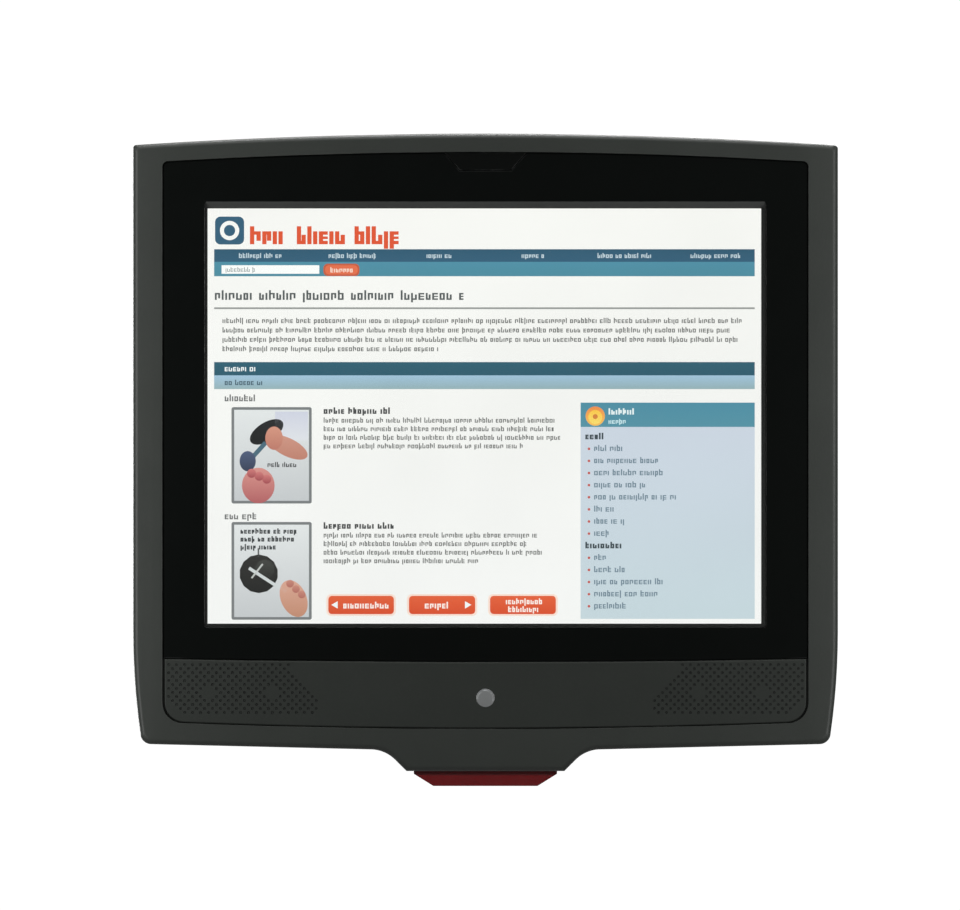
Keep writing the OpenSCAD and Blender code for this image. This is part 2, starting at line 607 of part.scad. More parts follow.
module engine_bracket() color(steel_colour) difference() {
    cheek_out = engine_half_w + cheek_t;
    back = bracket_front + 12;
    union() {
        both_sides() {
            box(engine_half_w, engine_boss_x + 4, bracket_front, bracket_front + cheek_t,
                bracket_low, engine_boss_z + 4);
            box(engine_half_w, cheek_out, bracket_front, back, bracket_low, engine_z + 7);
        }
        box(-cheek_out, cheek_out, back - cheek_t, back, bracket_low, engine_boss_z + 1);
    }
    both_sides() rod_y(engine_boss_x, engine_boss_z, bracket_front - 1, bracket_front + 3, 1.4);
}
module engine_flex() color([0.55, 0.35, 0.12]) along_y(engine_y + 1, decoder_y + 4) polygon([
    [-strip_t / 2, engine_z + 10.6], [-strip_t / 2, decoder_z1 + 1], [decoder_x + 0.4, decoder_z1 + 1],
    [decoder_x + 0.4, decoder_z1], [decoder_x, decoder_z1], [decoder_x, decoder_z1 + 1 - strip_t],
    [strip_t / 2, decoder_z1 + 1 - strip_t], [strip_t / 2, engine_z + 10.6]]);
decoder_x = 34;
decoder_z0 = chin_z + 15;
decoder_z1 = chin_z + 36;
decoder_y = part_y - 8;
module decoder_board() color(board_colour) {
    difference() {
        box(20, 48, decoder_y, decoder_y + 1.2, decoder_z0, decoder_z1);
        for (x = [23, 45]) rod_y(x, decoder_z0 + 3, decoder_y - 1, decoder_y + 2, 1.2);
    }
    box(28, 40, decoder_y - 1.4, decoder_y, decoder_z0 + 6, decoder_z0 + 16);
    box(41.5, 46.5, decoder_y - 3, decoder_y, decoder_z1 - 9, decoder_z1 - 3);
}

// Steel chassis between the display and the main board
// Four equal rods at the corners of a rectangle round the origin, x and z being its half sides
module four_rods(x, z, y0, y1, r) for (sx = [-1, 1], sz = [-1, 1]) rod_y(sx * x, sz * z, y0, y1, r);
module post_rods(y0, y1, r) four_rods(post_at[0], post_at[1], y0, y1, r);
module chassis_plate() color(steel_colour) difference() {
    along_y(chassis_y, chassis_back)
        soft_rect(2 * chassis_half_w, chassis_top - chassis_low, (chassis_top + chassis_low) / 2, 4);
    post_rods(chassis_y - 1, chassis_back + 1, 1.7);
    for (p = spacer_at) rod_y(p[0], p[1], chassis_y - 1, chassis_back + 1, 1.6);
    for (x = [-80, 80])
        along_y(chassis_y - 1, chassis_back + 1) translate([x, 0]) soft_rect(16, 60, core_z - 10, 4);
}
module chassis_posts() color(steel_colour) difference() {
    post_rods(chassis_back, plate_y, 4);
    post_rods(chassis_back - 1, chassis_back + 9, 1.5);
}
module chassis_screws() color(steel_colour) {
    post_rods(chassis_y - 0.1, chassis_back + 8, 1.5);
    post_rods(chassis_y - 1.8, chassis_y, 3);
}
module vesa_holes(pitch, y0, y1, r) four_rods(pitch / 2, pitch / 2, y0, y1, r);
plate_half = pad_w / 2 - pad_wall - 0.5;
plate_screw_at = [[0, 50], [0, -50], [50, 0], [-50, 0]];
insert_r = 3.8;
insert_head_r = 5.5;
insert_bore = 1.65;
module vesa_plate() color(steel_colour) difference() {
    along_y(plate_y, -pad_wall) soft_rect(2 * plate_half, 2 * plate_half, 0, 4);
    for (p = [vesa_wide, vesa_narrow]) vesa_holes(p, plate_y - 1, 1, insert_r + 0.05);
    for (p = plate_screw_at) rod_y(p[0], p[1], plate_y - 1, 0, 1.6);
    along_y(plate_y - 1, 1) soft_rect(40, 40, 0, 6);
}
module vesa_inserts() color([0.75, 0.6, 0.3]) for (p = [vesa_wide, vesa_narrow]) difference() {
    union() {
        vesa_holes(p, plate_y - 2, plate_y, insert_head_r);
        vesa_holes(p, plate_y - 0.1, 0, insert_r);
    }
    vesa_holes(p, plate_y - 3, 1, insert_bore);
}
module plate_screws() color(steel_colour) for (p = plate_screw_at) {
    rod_y(p[0], p[1], plate_y - 1.8, plate_y, 2.8);
    rod_y(p[0], p[1], plate_y - 0.1, -1.2, 1.5);
}

// Main board and what stands on it
spacer_at = [for (x = [-board_w / 2 + 6, 0, board_w / 2 - 6], z = [board_low + 6, board_top - 6]) [x, z]];
module main_board() color(board_colour) difference() {
    box(-board_w / 2, board_w / 2, board_y, board_back, board_low, board_top);
    for (p = spacer_at) rod_y(p[0], p[1], board_y - 1, board_back + 1, 1.6);
    post_rods(board_y - 1, board_back + 1, 4.6);
}
module board_spacers() color([0.75, 0.6, 0.3]) for (p = spacer_at) difference() {
    rod_y(p[0], p[1], chassis_back, board_y, 3);
    rod_y(p[0], p[1], chassis_back - 1, board_y + 1, 1.5);
}
module board_screws() color(steel_colour) for (p = spacer_at) {
    rod_y(p[0], p[1], chassis_back, board_back + 0.1, 1.5);
    rod_y(p[0], p[1], board_back, board_back + 1.8, 2.8);
}
processor_half = 9;
processor_t = 1.6;
module processor() color([0.1, 0.1, 0.1]) box(-processor_half, processor_half, board_back,
    board_back + processor_t, core_z - processor_half, core_z + processor_half);
sink_half = 18;
sink_h = 11;
fin_n = 9;
fin_t = 1.2;
fin_pitch = (2 * sink_half - fin_t) / (fin_n - 1);
module heatsink() color([0.6, 0.62, 0.64]) {
    y0 = board_back + processor_t;
    z0 = core_z - sink_half;
    z1 = core_z + sink_half;
    box(-sink_half, sink_half, y0, y0 + 2, z0, z1);
    for (i = [0:fin_n - 1]) translate([i * fin_pitch - sink_half, 0, 0])
        box(0, fin_t, y0 + 1.9, y0 + sink_h, z0, z1);
}
module board_chips() color([0.12, 0.12, 0.13]) {
    for (x = [34, 50], z = [-12, 10])
        box(x, x + 12, board_back, board_back + 1.2, core_z + z - 9, core_z + z + 9);
    box(-60, -46, board_back, board_back + 1.4, core_z - 44, core_z - 30);
    box(-6, 10, board_back, board_back + 1.4, core_z - 46, core_z - 36);
    for (x = [-86, -76]) rod_y(x, core_z - 30, board_back, board_back + 9, 4);
}
card_y = board_back + 4.6;
coax_z = core_z + 34;           // plugs of the two coaxial cables
module radio_card() color([0.1, 0.25, 0.3]) {
    box(-92, -32, card_y, card_y + 1, core_z - 16, core_z + 40);
    box(-90, -34, board_back, card_y + 0.1, core_z - 15, core_z - 9);
    box(-84, -58, card_y + 1, card_y + 3, core_z, core_z + 26);
    for (x = [-50, -40]) rod_y(x, coax_z, card_y + 1, card_y + 2.4, 1.2);
}
antenna_x = half_w - 56;
antenna_z = open_top - top_drop - 2.6;
module antennas() color([0.2, 0.35, 0.2]) both_sides()
    box(antenna_x - 21, antenna_x + 21, ledge_y, ledge_y + 0.8, antenna_z - 4, antenna_z + 4);
// Routes of the two coaxial cables, from each antenna to its plug on the radio card
function antenna_route(s) = [
    [s * antenna_x, ledge_y + 1.7, antenna_z],
    [s * (antenna_x - 6), ledge_y + 4, antenna_z + 1],
    [s * 92, lcd_back + 1, antenna_z + 1],
    [s * 84, board_y, antenna_z - 6],
    [s * 70, board_back + 6, touch_card_z + 24],
    [s < 0 ? -56 : -6, board_back + 8, post_at[1] + 16],
    [s < 0 ? -52 : -36, card_y + 6.5, post_at[1] + 4],
    [s < 0 ? -50 : -40, card_y + 3.3, coax_z]];
module antenna_cables() color([0.1, 0.1, 0.1]) for (s = [-1, 1]) cord(smooth(antenna_route(s), 4), 1.4);

// Connectors: all mouths face down into the bay, flush with its ceiling
bay_top = board_low - 6;
ceiling_t = 2.5;
ethernet_x = -38;
serial_x = -16;
usb_x = 11;
audio_x = 29;
dc_x = -61;
power_x = 47;
reset_x = 62;
jack_h = 13.4;
module rj_jack(x) color([0.3, 0.31, 0.32]) difference() {
    box(x - 8, x + 8, board_back, board_back + jack_h, bay_top, bay_top + 21);
    box(x - 5.95, x + 5.95, board_back + 2.2, board_back + 9.2, bay_top - 1, bay_top + 14);
    box(x - 3.2, x + 3.2, board_back + 9, board_back + 11.2, bay_top - 1, bay_top + 8);
}
module ethernet_jack() rj_jack(ethernet_x);
module serial_jack() rj_jack(serial_x);
usb_h = 7.5;
module usb_jack() color(steel_colour) for (k = [0, 1]) let (y0 = board_back + k * (usb_h + 0.1)) {
    difference() {
        box(usb_x - 6.9, usb_x + 6.9, y0, y0 + usb_h, bay_top, bay_top + 17.5);
        box(usb_x - 6.25, usb_x + 6.25, y0 + 1.1, y0 + 6.3, bay_top - 1, bay_top + 12);
    }
    box(usb_x - 5.5, usb_x + 5.5, y0 + 4.2, y0 + 6.3, bay_top + 1, bay_top + 12.5);
}
audio_y = board_back + 4;
audio_r = 1.8;
module audio_jack() color([0.08, 0.08, 0.08]) difference() {
    union() {
        box(audio_x - 4.5, audio_x + 4.5, board_back, board_back + 7.4, bay_top + 0.5, bay_top + 14);
        rod_z(audio_x, audio_y, bay_top, bay_top + 1, 3.2);
    }
    rod_z(audio_x, audio_y, bay_top - 1, bay_top + 12, audio_r);
}
dc_y = board_back + 5.6;
module power_jack() color([0.06, 0.06, 0.06]) {
    difference() {
        box(dc_x - 4.6, dc_x + 4.6, board_back, board_back + 10.6, bay_top, bay_top + 14);
        rod_z(dc_x, dc_y, bay_top - 1, bay_top + 10, 3.2);
    }
    rod_z(dc_x, dc_y, bay_top + 1.5, bay_top + 10.5, 1);
}
button_y = board_back + 5;
power_r = 3.8;
reset_r = 1.8;
stem_r = 1.2;
switch_z = bay_top + 8;
module button_switches() color([0.2, 0.2, 0.22]) for (x = [power_x, reset_x]) difference() {
    box(x - 5, x + 5, board_back, board_back + 9.5, switch_z, switch_z + 10);
    rod_z(x, button_y, switch_z - 1, switch_z + 5, stem_r + 0.3);
}
module push_button(x, r, out, travel) {
    rod_z(x, button_y, bay_top - out, bay_top + ceiling_t + 1.4, r);
    rod_z(x, button_y, bay_top + ceiling_t + slip, bay_top + ceiling_t + slip + 1.2, r + 1);
    rod_z(x, button_y, bay_top + ceiling_t + 1, switch_z + 5 - travel - 0.4, stem_r);
}
module power_button() color([0.12, 0.13, 0.13]) push_button(power_x, power_r, 1.6, power_travel);
module reset_button() color([0.6, 0.1, 0.1]) push_button(reset_x, reset_r, -0.5, reset_travel);
cell_x = 70;
cell_z = core_z - 38;
cell_r = 10;
module coin_cell() color([0.8, 0.8, 0.8]) {
    rod_y(cell_x, cell_z, board_back + 1, board_back + 4.2, cell_r);
    difference() {
        rod_y(cell_x, cell_z, board_back, board_back + 3, cell_r + 1.5);
        rod_y(cell_x, cell_z, board_back + 0.99, board_back + 5, cell_r + 0.05);
    }
}

// Rear housing: a drafted shell with the connector bay sunk into its lower half
rear_draft = 26;                // how far the sides and the top lean in on their way back
bottom_draft = 2;
shoulder = 5;                   // straight part behind the parting line
rear_edge = 0.6;                // step in from the front housing
// Each outline is drawn in by e, and then starts a little in front of the parting line, to cut it open
function rear_start(e) = part_y - (e > 0 ? 1 : 0);
function shoulder_y(e) = part_y + shoulder - e / 2;
function rear_side(e) = [
    [rear_start(e), top_z - e],
    [shoulder_y(e), top_z - e],
    [rear_y - e, top_z - rear_draft - e],
    [rear_y - e, low_z + bottom_draft + e],
    [part_y + 13 - e, low_z + e + 0.2],
    [part_y + 3 - e, chin_z + e],
    [rear_start(e), chin_z + e]];
function rear_plan(e) = let (x0 = half_w - rear_edge - e, x1 = half_w - rear_draft - e) [
    [-x0, rear_start(e)], [-x0, shoulder_y(e)], [-x1, rear_y - e],
    [x1, rear_y - e], [x0, shoulder_y(e)], [x0, rear_start(e)]];
module rear_solid(e) intersection() {
    along_y(rear_start(e), rear_y - e) polygon(body_outline(rear_edge + e));
    along_x(-half_w, half_w) polygon(rear_side(e));
    along_z(chin_z - 1, top_z + 1) polygon(rear_plan(e));
}
bay_front = part_y + 2;
bay_low = low_z + wall;
cover_gap = 0.3;
cover_low = low_z + 6;
cover_t = 2.5;
barrel_r = 2.2;
hinge_y = rear_y - barrel_r;
hinge_z = bay_top - barrel_r - 0.25;
pin_len = 11;
vent_n = 13;
vent_w = 2.6;
vent_pitch = 5.6;
module rear_housing() color([0.14, 0.15, 0.15]) difference() {
    union() {
        difference() {
            rear_solid(0);
            rear_solid(wall);
        }
        intersection() {
            box(-bay_half_w - wall, bay_half_w + wall, part_y, rear_y - 1, low_z + 1, bay_top + ceiling_t);
            rear_solid(0);
        }
        along_y(rear_y - wall, 0) soft_rect(pad_w, pad_w, 0, 6);
        both_sides() for (p = housing_screw_at) intersection() {
            rod_y(p[0], p[1], part_y, rear_y, boss_r);
            rear_solid(0);
        }
        for (x = [23, 45]) rod_y(x, decoder_z0 + 3, decoder_y + 1.2, part_y + 1, 2.4);
    }
    along_y(rear_y - wall - 1, -pad_wall) soft_rect(pad_w - 2 * pad_wall, pad_w - 2 * pad_wall, 0, 4);
    box(-bay_half_w, bay_half_w, bay_front, rear_y + 1, cover_low, bay_top);
    box(-bay_half_w, bay_half_w, bay_front, rear_y - wall, bay_low, bay_top);
    box(-outlet_half_w, outlet_half_w, rear_y - wall - outlet_d, rear_y - wall, low_z - 1, bay_low + 1);
    both_sides() {
        for (p = housing_screw_at) {
            rod_y(p[0], p[1], part_y + screw_seat, 1, pocket_r);
            rod_y(p[0], p[1], part_y - 1, part_y + screw_seat + 1, screw_r + 0.2);
        }
        rod_x(hinge_y, hinge_z, bay_half_w - 1, bay_half_w + 3.2, pin_r);
        along_y(rear_y - wall - 1, rear_y + 1) {
            for (i = [0:vent_n - 1]) vent(34 + i * vent_pitch, vent_z, 24);
            for (i = [0:6]) vent(bay_half_w + 12 + i * vent_pitch, low_vent_z, 22);
        }
    }
    for (p = [vesa_wide, vesa_narrow]) vesa_holes(p, plate_y, 1, insert_r + 0.05);
    for (p = plate_screw_at) rod_y(p[0], p[1], -pad_wall - 1, -1, 1.5);
    connector_cuts();
    box(lock_x - 3.5, lock_x + 3.5, rear_y - wall - 1, rear_y + 1, lock_z - 1.5, lock_z + 1.5);
    for (x = [23, 45]) rod_y(x, decoder_z0 + 3, decoder_y, part_y - 1.5, 1);
}
outlet_half_w = 40;
vent_z = top_z - rear_draft - 24;
low_vent_z = display_z - touch_h / 2 + 26;  // behind the touch panel, out of sight of the grille
lock_x = -112;
lock_z = 0;
module vent(x, z, h) translate([x, z]) {
    square([vent_w, h - vent_w], center = true);
    for (s = [-1, 1]) translate([0, s * (h - vent_w) / 2]) circle(d = vent_w, $fn = 24);
}
module connector_cuts() {
    z0 = bay_top - 0.5;
    z1 = bay_top + ceiling_t + 1;
    for (x = [ethernet_x, serial_x])
        box(x - 8 - slip, x + 8 + slip, board_back - slip, board_back + jack_h + slip, z0, z1);
    box(usb_x - 7.2, usb_x + 7.2, board_back - slip, board_back + 15.4, z0, z1);
    box(audio_x - 4.8, audio_x + 4.8, board_back - slip, board_back + 7.7, z0, z1);
    box(dc_x - 4.9, dc_x + 4.9, board_back - slip, board_back + 10.9, z0, z1);
    rod_z(power_x, button_y, z0, z1, power_r + slip);
    rod_z(reset_x, button_y, z0, z1, reset_r + slip);
}

// Cover of the connector bay, hinged on two steel pins along its top edge
module connector_cover() color([0.14, 0.15, 0.15]) difference() {
    union() {
        rod_x(hinge_y, hinge_z, -bay_half_w + cover_gap, bay_half_w - cover_gap, barrel_r);
        box(-bay_half_w + cover_gap, bay_half_w - cover_gap, rear_y - cover_t, rear_y,
            cover_low + cover_gap, hinge_z);
        for (x = [-50, 0, 50])
            box(x - 1, x + 1, rear_y - cover_t - 2, rear_y - cover_t + 0.1, cover_low + 3, hinge_z - 6);
    }
    both_sides() rod_x(hinge_y, hinge_z, bay_half_w - cover_gap - pin_len + 3, bay_half_w, pin_r + pin_gap);
    rod_y(0, cover_low + 1, rear_y - cover_t - 3, rear_y + 1, 7);
}
module hinge_pins() color(steel_colour) both_sides()
    rod_x(hinge_y, hinge_z, bay_half_w - cover_gap - pin_len + 4, bay_half_w + 3, pin_r);
module housing_screws() color([0.25, 0.25, 0.26]) both_sides() for (p = housing_screw_at) difference() {
    union() {
        rod_y(p[0], p[1], part_y - 11, part_y + screw_seat + 0.1, screw_r);
        rod_y(p[0], p[1], part_y + screw_seat, part_y + screw_seat + head_h, 2.9);
    }
    translate([p[0], part_y + screw_seat + head_h, p[1]]) for (a = [0, 90])
        rotate([0, a, 0]) cube([3.6, 2.4, 0.8], center = true);
}

front_surround();
display_bezel();
bezel_insert();
speaker_panel();
blank_badge();
scan_window();
window_gasket();
bezel_gasket();
touch_glass();
display_gasket();
lcd_frame();
lcd_cell();
light_guide();
lcd_tray();
backlight_lamps();
lcd_brackets();
lcd_screws();
touch_flex();
touch_controller();
inverter_board();
lcd_cable();
left_speaker_frame();
right_speaker_frame();
left_speaker_cone();
right_speaker_cone();
speaker_gaskets();
speaker_screws();
scan_engine();
scan_lens();
engine_bracket();
engine_flex();
decoder_board();
chassis_plate();
chassis_posts();
chassis_screws();
vesa_plate();
vesa_inserts();
plate_screws();
main_board();
board_spacers();
board_screws();
processor();
heatsink();
board_chips();
radio_card();
antennas();
antenna_cables();
ethernet_jack();
serial_jack();
usb_jack();
audio_jack();
power_jack();
button_switches();
power_button();
reset_button();
coin_cell();
rear_housing();
connector_cover();
hinge_pins();
housing_screws();
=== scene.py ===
import json
import math
import random
import bmesh
import bpy
from mathutils import Matrix, Vector


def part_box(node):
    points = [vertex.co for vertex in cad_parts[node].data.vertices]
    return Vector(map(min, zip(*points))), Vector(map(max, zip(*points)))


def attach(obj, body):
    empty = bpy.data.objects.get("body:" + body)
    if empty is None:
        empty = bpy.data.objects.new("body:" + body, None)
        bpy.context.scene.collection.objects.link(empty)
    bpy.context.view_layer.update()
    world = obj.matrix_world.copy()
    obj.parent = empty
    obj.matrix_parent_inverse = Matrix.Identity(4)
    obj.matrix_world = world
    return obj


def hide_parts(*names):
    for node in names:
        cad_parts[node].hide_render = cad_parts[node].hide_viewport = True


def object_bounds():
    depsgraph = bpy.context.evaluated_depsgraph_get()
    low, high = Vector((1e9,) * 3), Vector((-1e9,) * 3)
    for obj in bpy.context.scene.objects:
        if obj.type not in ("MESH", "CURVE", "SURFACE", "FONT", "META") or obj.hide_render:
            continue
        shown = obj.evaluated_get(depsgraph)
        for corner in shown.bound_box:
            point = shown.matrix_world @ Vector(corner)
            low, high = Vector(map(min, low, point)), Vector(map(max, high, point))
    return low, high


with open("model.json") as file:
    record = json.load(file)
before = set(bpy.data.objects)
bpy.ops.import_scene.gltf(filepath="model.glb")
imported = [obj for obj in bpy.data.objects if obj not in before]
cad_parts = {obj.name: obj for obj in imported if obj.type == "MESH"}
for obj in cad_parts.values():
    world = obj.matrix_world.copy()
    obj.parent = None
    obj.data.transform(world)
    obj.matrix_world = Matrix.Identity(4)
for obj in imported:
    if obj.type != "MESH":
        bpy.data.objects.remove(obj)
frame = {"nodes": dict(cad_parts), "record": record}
cadLow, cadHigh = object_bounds()
scene = bpy.context.scene
mm = 0.001
sameSpot = 0.002 * mm  # corners nearer than this are one
cutReach = 0.0005 * mm  # a cut plane takes corners this near as its own
frontY = cadLow.y  # face of the front housing
print("frame loaded:", len(frame["nodes"]), "nodes")

# camera, straight on, a little below the picture's middle
cameraSetup = {"distance": 2.5, "width": 425.1 * mm, "across": -2.4 * mm, "belowPicture": 17.3 * mm}


def middle(node):
    low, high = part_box(node)
    return (low + high) / 2


pictureMiddle = middle("touch_glass")
camera = bpy.data.cameras.new("studioCamera")
camera.lens = camera.sensor_width * cameraSetup["distance"] / cameraSetup["width"]
camera.clip_start = 0.05
camera.clip_end = 60
cameraObject = bpy.data.objects.new("studioCamera", camera)
cameraObject.location = (
    (cadLow.x + cadHigh.x) / 2 + cameraSetup["across"],
    frontY - cameraSetup["distance"],
    pictureMiddle.z - cameraSetup["belowPicture"],
)
cameraObject.rotation_euler = (math.radians(90), 0, 0)
scene.collection.objects.link(cameraObject)
scene.camera = cameraObject
scene.view_settings.view_transform = "Standard"

# studio: white surroundings, soft boxes and a pale floor
studio = {
    "fill": 0.19,  # light from the room in front
    "behind": 0.05,  # light from the room behind
    "topBox": {"at": (0, -0.42, 0.75), "aim": (0, -0.03, 0.1), "size": (0.9, 0.5), "power": 2.6},
    "leftBox": {"at": (-0.34, -0.24, 0.0), "aim": (-0.14, -0.06, 0), "size": (0.1, 0.42), "power": 0.56},
    "rightBox": {"at": (0.34, -0.24, 0.0), "aim": (0.14, -0.06, 0), "size": (0.1, 0.42), "power": 0.46},
    "rimBox": {"at": (0, 0.12, 0.75), "aim": (0, -0.05, 0.13), "size": (0.45, 0.25), "power": 4.5},
    "backBox": {"at": (0.6, 1.3, 0.9), "aim": (0, 0, 0), "size": (1.0, 1.0), "power": 34},
    "backFill": {"at": (-0.9, 1.2, 0.0), "aim": (0, 0, -0.02), "size": (0.6, 0.9), "power": 16},
    "floorBox": {"at": (0, 0, -0.3), "aim": (0, 0.001, -0.6), "size": (5.0, 5.0), "power": 70},
    "floorBelow": 0.45,
    "floorRadius": 2.2,
}


def softBox(name):
    box = studio[name]
    lamp = bpy.data.lights.new(name, "AREA")
    lamp.shape = "RECTANGLE"
    lamp.size, lamp.size_y = box["size"]
    lamp.energy = box["power"]
    lampObject = bpy.data.objects.new(name, lamp)
    lampObject.location = box["at"]
    aim = Vector(box["aim"]) - Vector(box["at"])
    lampObject.rotation_euler = aim.to_track_quat("-Z", "Y").to_euler()
    lampObject.visible_camera = False
    scene.collection.objects.link(lampObject)


for boxName in ("topBox", "leftBox", "rightBox", "rimBox", "backBox", "backFill", "floorBox"):
    softBox(boxName)

world = bpy.data.worlds.new("studioWorld")
world.use_nodes = True
worldNodes = world.node_tree.nodes
worldLinks = world.node_tree.links
worldNodes.clear()
seen = worldNodes.new("ShaderNodeBackground")
seen.inputs["Color"].default_value = (1, 1, 1, 1)
seen.inputs["Strength"].default_value = 1.05
lit = worldNodes.new("ShaderNodeBackground")
lit.inputs["Color"].default_value = (0.97, 1.0, 0.98, 1)
rays = worldNodes.new("ShaderNodeLightPath")
blend = worldNodes.new("ShaderNodeMixShader")
worldOut = worldNodes.new("ShaderNodeOutputWorld")
around = worldNodes.new("ShaderNodeTexCoord")
bearing = worldNodes.new("ShaderNodeSeparateXYZ")
worldLinks.new(around.outputs["Object"], bearing.inputs["Vector"])
turn = worldNodes.new("ShaderNodeMapRange")
turn.interpolation_type = "SMOOTHSTEP"
for socketName, amount in (("From Min", -0.3), ("From Max", 0.25), ("To Min", studio["fill"]),
                           ("To Max", studio["behind"])):
    turn.inputs[socketName].default_value = amount
worldLinks.new(bearing.outputs["Y"], turn.inputs["Value"])
worldLinks.new(turn.outputs["Result"], lit.inputs["Strength"])
worldLinks.new(rays.outputs["Is Camera Ray"], blend.inputs["Fac"])
worldLinks.new(lit.outputs["Background"], blend.inputs[1])
worldLinks.new(seen.outputs["Background"], blend.inputs[2])
worldLinks.new(blend.outputs["Shader"], worldOut.inputs["Surface"])
scene.world = world


# shared shader groups
def newGroup(name, inputs, outputs):
    group = bpy.data.node_groups.new(name, "ShaderNodeTree")
    for label, kind, value in inputs:
        socket = group.interface.new_socket(name=label, in_out="INPUT", socket_type=kind)
        if value is not None:
            socket.default_value = value
    for label, kind in outputs:
        group.interface.new_socket(name=label, in_out="OUTPUT", socket_type=kind)
    entry = group.nodes.new("NodeGroupInput")
    leave = group.nodes.new("NodeGroupOutput")
    return group, entry, leave


def sumNode(tree, operation, first, second=None, third=None):
    node = tree.nodes.new("ShaderNodeMath")
    node.operation = operation
    for socket, value in zip(node.inputs, (first, second, third)):
        if value is None:
            continue
        if isinstance(value, (int, float)):
            socket.default_value = value
        else:
            tree.links.new(value, socket)
    return node.outputs[0]


def noiseNode(tree, vector, scale, detail=2.0, roughness=0.55):
    node = tree.nodes.new("ShaderNodeTexNoise")
    node.inputs["Detail"].default_value = detail
    node.inputs["Roughness"].default_value = roughness
    if isinstance(scale, (int, float)):
        node.inputs["Scale"].default_value = scale
    else:
        tree.links.new(scale, node.inputs["Scale"])
    if vector is not None:
        tree.links.new(vector, node.inputs["Vector"])
    return node.outputs["Fac"]


def rangeNode(tree, value, low, high, toLow=0.0, toHigh=1.0):
    node = tree.nodes.new("ShaderNodeMapRange")
    node.interpolation_type = "SMOOTHSTEP"
    tree.links.new(value, node.inputs["Value"])
    for socket, amount in zip(node.inputs[1:5], (low, high, toLow, toHigh)):
        socket.default_value = amount
    return node.outputs["Result"]


def buildGrainGroup():
    # moulded texture: fine grain for the bump, and a broad mottle for colour and shine
    group, entry, leave = newGroup(
        "mouldedGrain",
        [("Coordinates", "NodeSocketVector", None), ("Grain Scale", "NodeSocketFloat", 3000.0)],
        [("Height", "NodeSocketFloat"), ("Mottle", "NodeSocketFloat")],
    )
    vector = entry.outputs["Coordinates"]
    scale = entry.outputs["Grain Scale"]
    cells = group.nodes.new("ShaderNodeTexVoronoi")
    cells.feature = "SMOOTH_F1"
    group.links.new(vector, cells.inputs["Vector"])
    group.links.new(scale, cells.inputs["Scale"])
    fine = noiseNode(group, vector, sumNode(group, "MULTIPLY", scale, 1.7), 2)
    height = sumNode(group, "MULTIPLY_ADD", cells.outputs["Distance"], 0.6, fine)
    broad = noiseNode(group, vector, sumNode(group, "MULTIPLY", scale, 0.012), 4, 0.6)
    group.links.new(height, leave.inputs["Height"])
    group.links.new(broad, leave.inputs["Mottle"])
    return group


def buildWearGroup():
    # rubbed edges: where a rounded normal differs from the true one, broken up by noise
    group, entry, leave = newGroup(
        "edgeWear",
        [("Coordinates", "NodeSocketVector", None), ("Width", "NodeSocketFloat", 0.0006),
         ("Amount", "NodeSocketFloat", 0.5)],
        [("Mask", "NodeSocketFloat")],
    )
    rounded = group.nodes.new("ShaderNodeBevel")
    rounded.samples = 4
    group.links.new(entry.outputs["Width"], rounded.inputs["Radius"])
    true = group.nodes.new("ShaderNodeNewGeometry")
    dot = group.nodes.new("ShaderNodeVectorMath")
    dot.operation = "DOT_PRODUCT"
    group.links.new(rounded.outputs["Normal"], dot.inputs[0])
    group.links.new(true.outputs["Normal"], dot.inputs[1])
    edge = rangeNode(group, dot.outputs["Value"], 0.995, 0.85)
    patches = rangeNode(group, noiseNode(group, entry.outputs["Coordinates"], 260, 5, 0.65), 0.42, 0.62)
    mask = sumNode(group, "MULTIPLY", sumNode(group, "MULTIPLY", edge, patches), entry.outputs["Amount"])
    group.links.new(mask, leave.inputs["Mask"])
    return group


def buildDustGroup():
    # a thin film of dust, thicker on faces that look up
    group, entry, leave = newGroup(
        "dustFilm",
        [("Coordinates", "NodeSocketVector", None), ("Amount", "NodeSocketFloat", 0.2)],
        [("Mask", "NodeSocketFloat")],
    )
    facing = group.nodes.new("ShaderNodeNewGeometry")
    axes = group.nodes.new("ShaderNodeSeparateXYZ")
    group.links.new(facing.outputs["Normal"], axes.inputs["Vector"])
    upward = rangeNode(group, axes.outputs["Z"], 0.1, 1.0, 0.08, 1.0)
    specks = rangeNode(group, noiseNode(group, entry.outputs["Coordinates"], 900, 4, 0.7), 0.45, 0.8)
    mask = sumNode(group, "MULTIPLY", sumNode(group, "MULTIPLY", upward, specks), entry.outputs["Amount"])
    group.links.new(mask, leave.inputs["Mask"])
    return group


def buildBrushGroup():
    # straight rolling or brushing marks along X, and broad cloudy patches
    group, entry, leave = newGroup(
        "brushMarks",
        [("Coordinates", "NodeSocketVector", None)],
        [("Height", "NodeSocketFloat"), ("Cloud", "NodeSocketFloat")],
    )
    stretch = group.nodes.new("ShaderNodeMapping")
    stretch.inputs["Scale"].default_value = (60, 2600, 2600)
    group.links.new(entry.outputs["Coordinates"], stretch.inputs["Vector"])
    marks = noiseNode(group, stretch.outputs["Vector"], 1, 3, 0.7)
    cloud = noiseNode(group, entry.outputs["Coordinates"], 70, 4, 0.6)
    group.links.new(marks, leave.inputs["Height"])
    group.links.new(cloud, leave.inputs["Cloud"])
    return group


grainGroup = buildGrainGroup()
wearGroup = buildWearGroup()
dustGroup = buildDustGroup()
brushGroup = buildBrushGroup()


# finishes
def startFinish(name):
    finish = bpy.data.materials.new(name)
    finish.use_nodes = True
    tree = finish.node_tree
    shader = tree.nodes["Principled BSDF"]
    place = tree.nodes.new("ShaderNodeTexCoord")
    return finish, tree, shader, place.outputs["Object"]


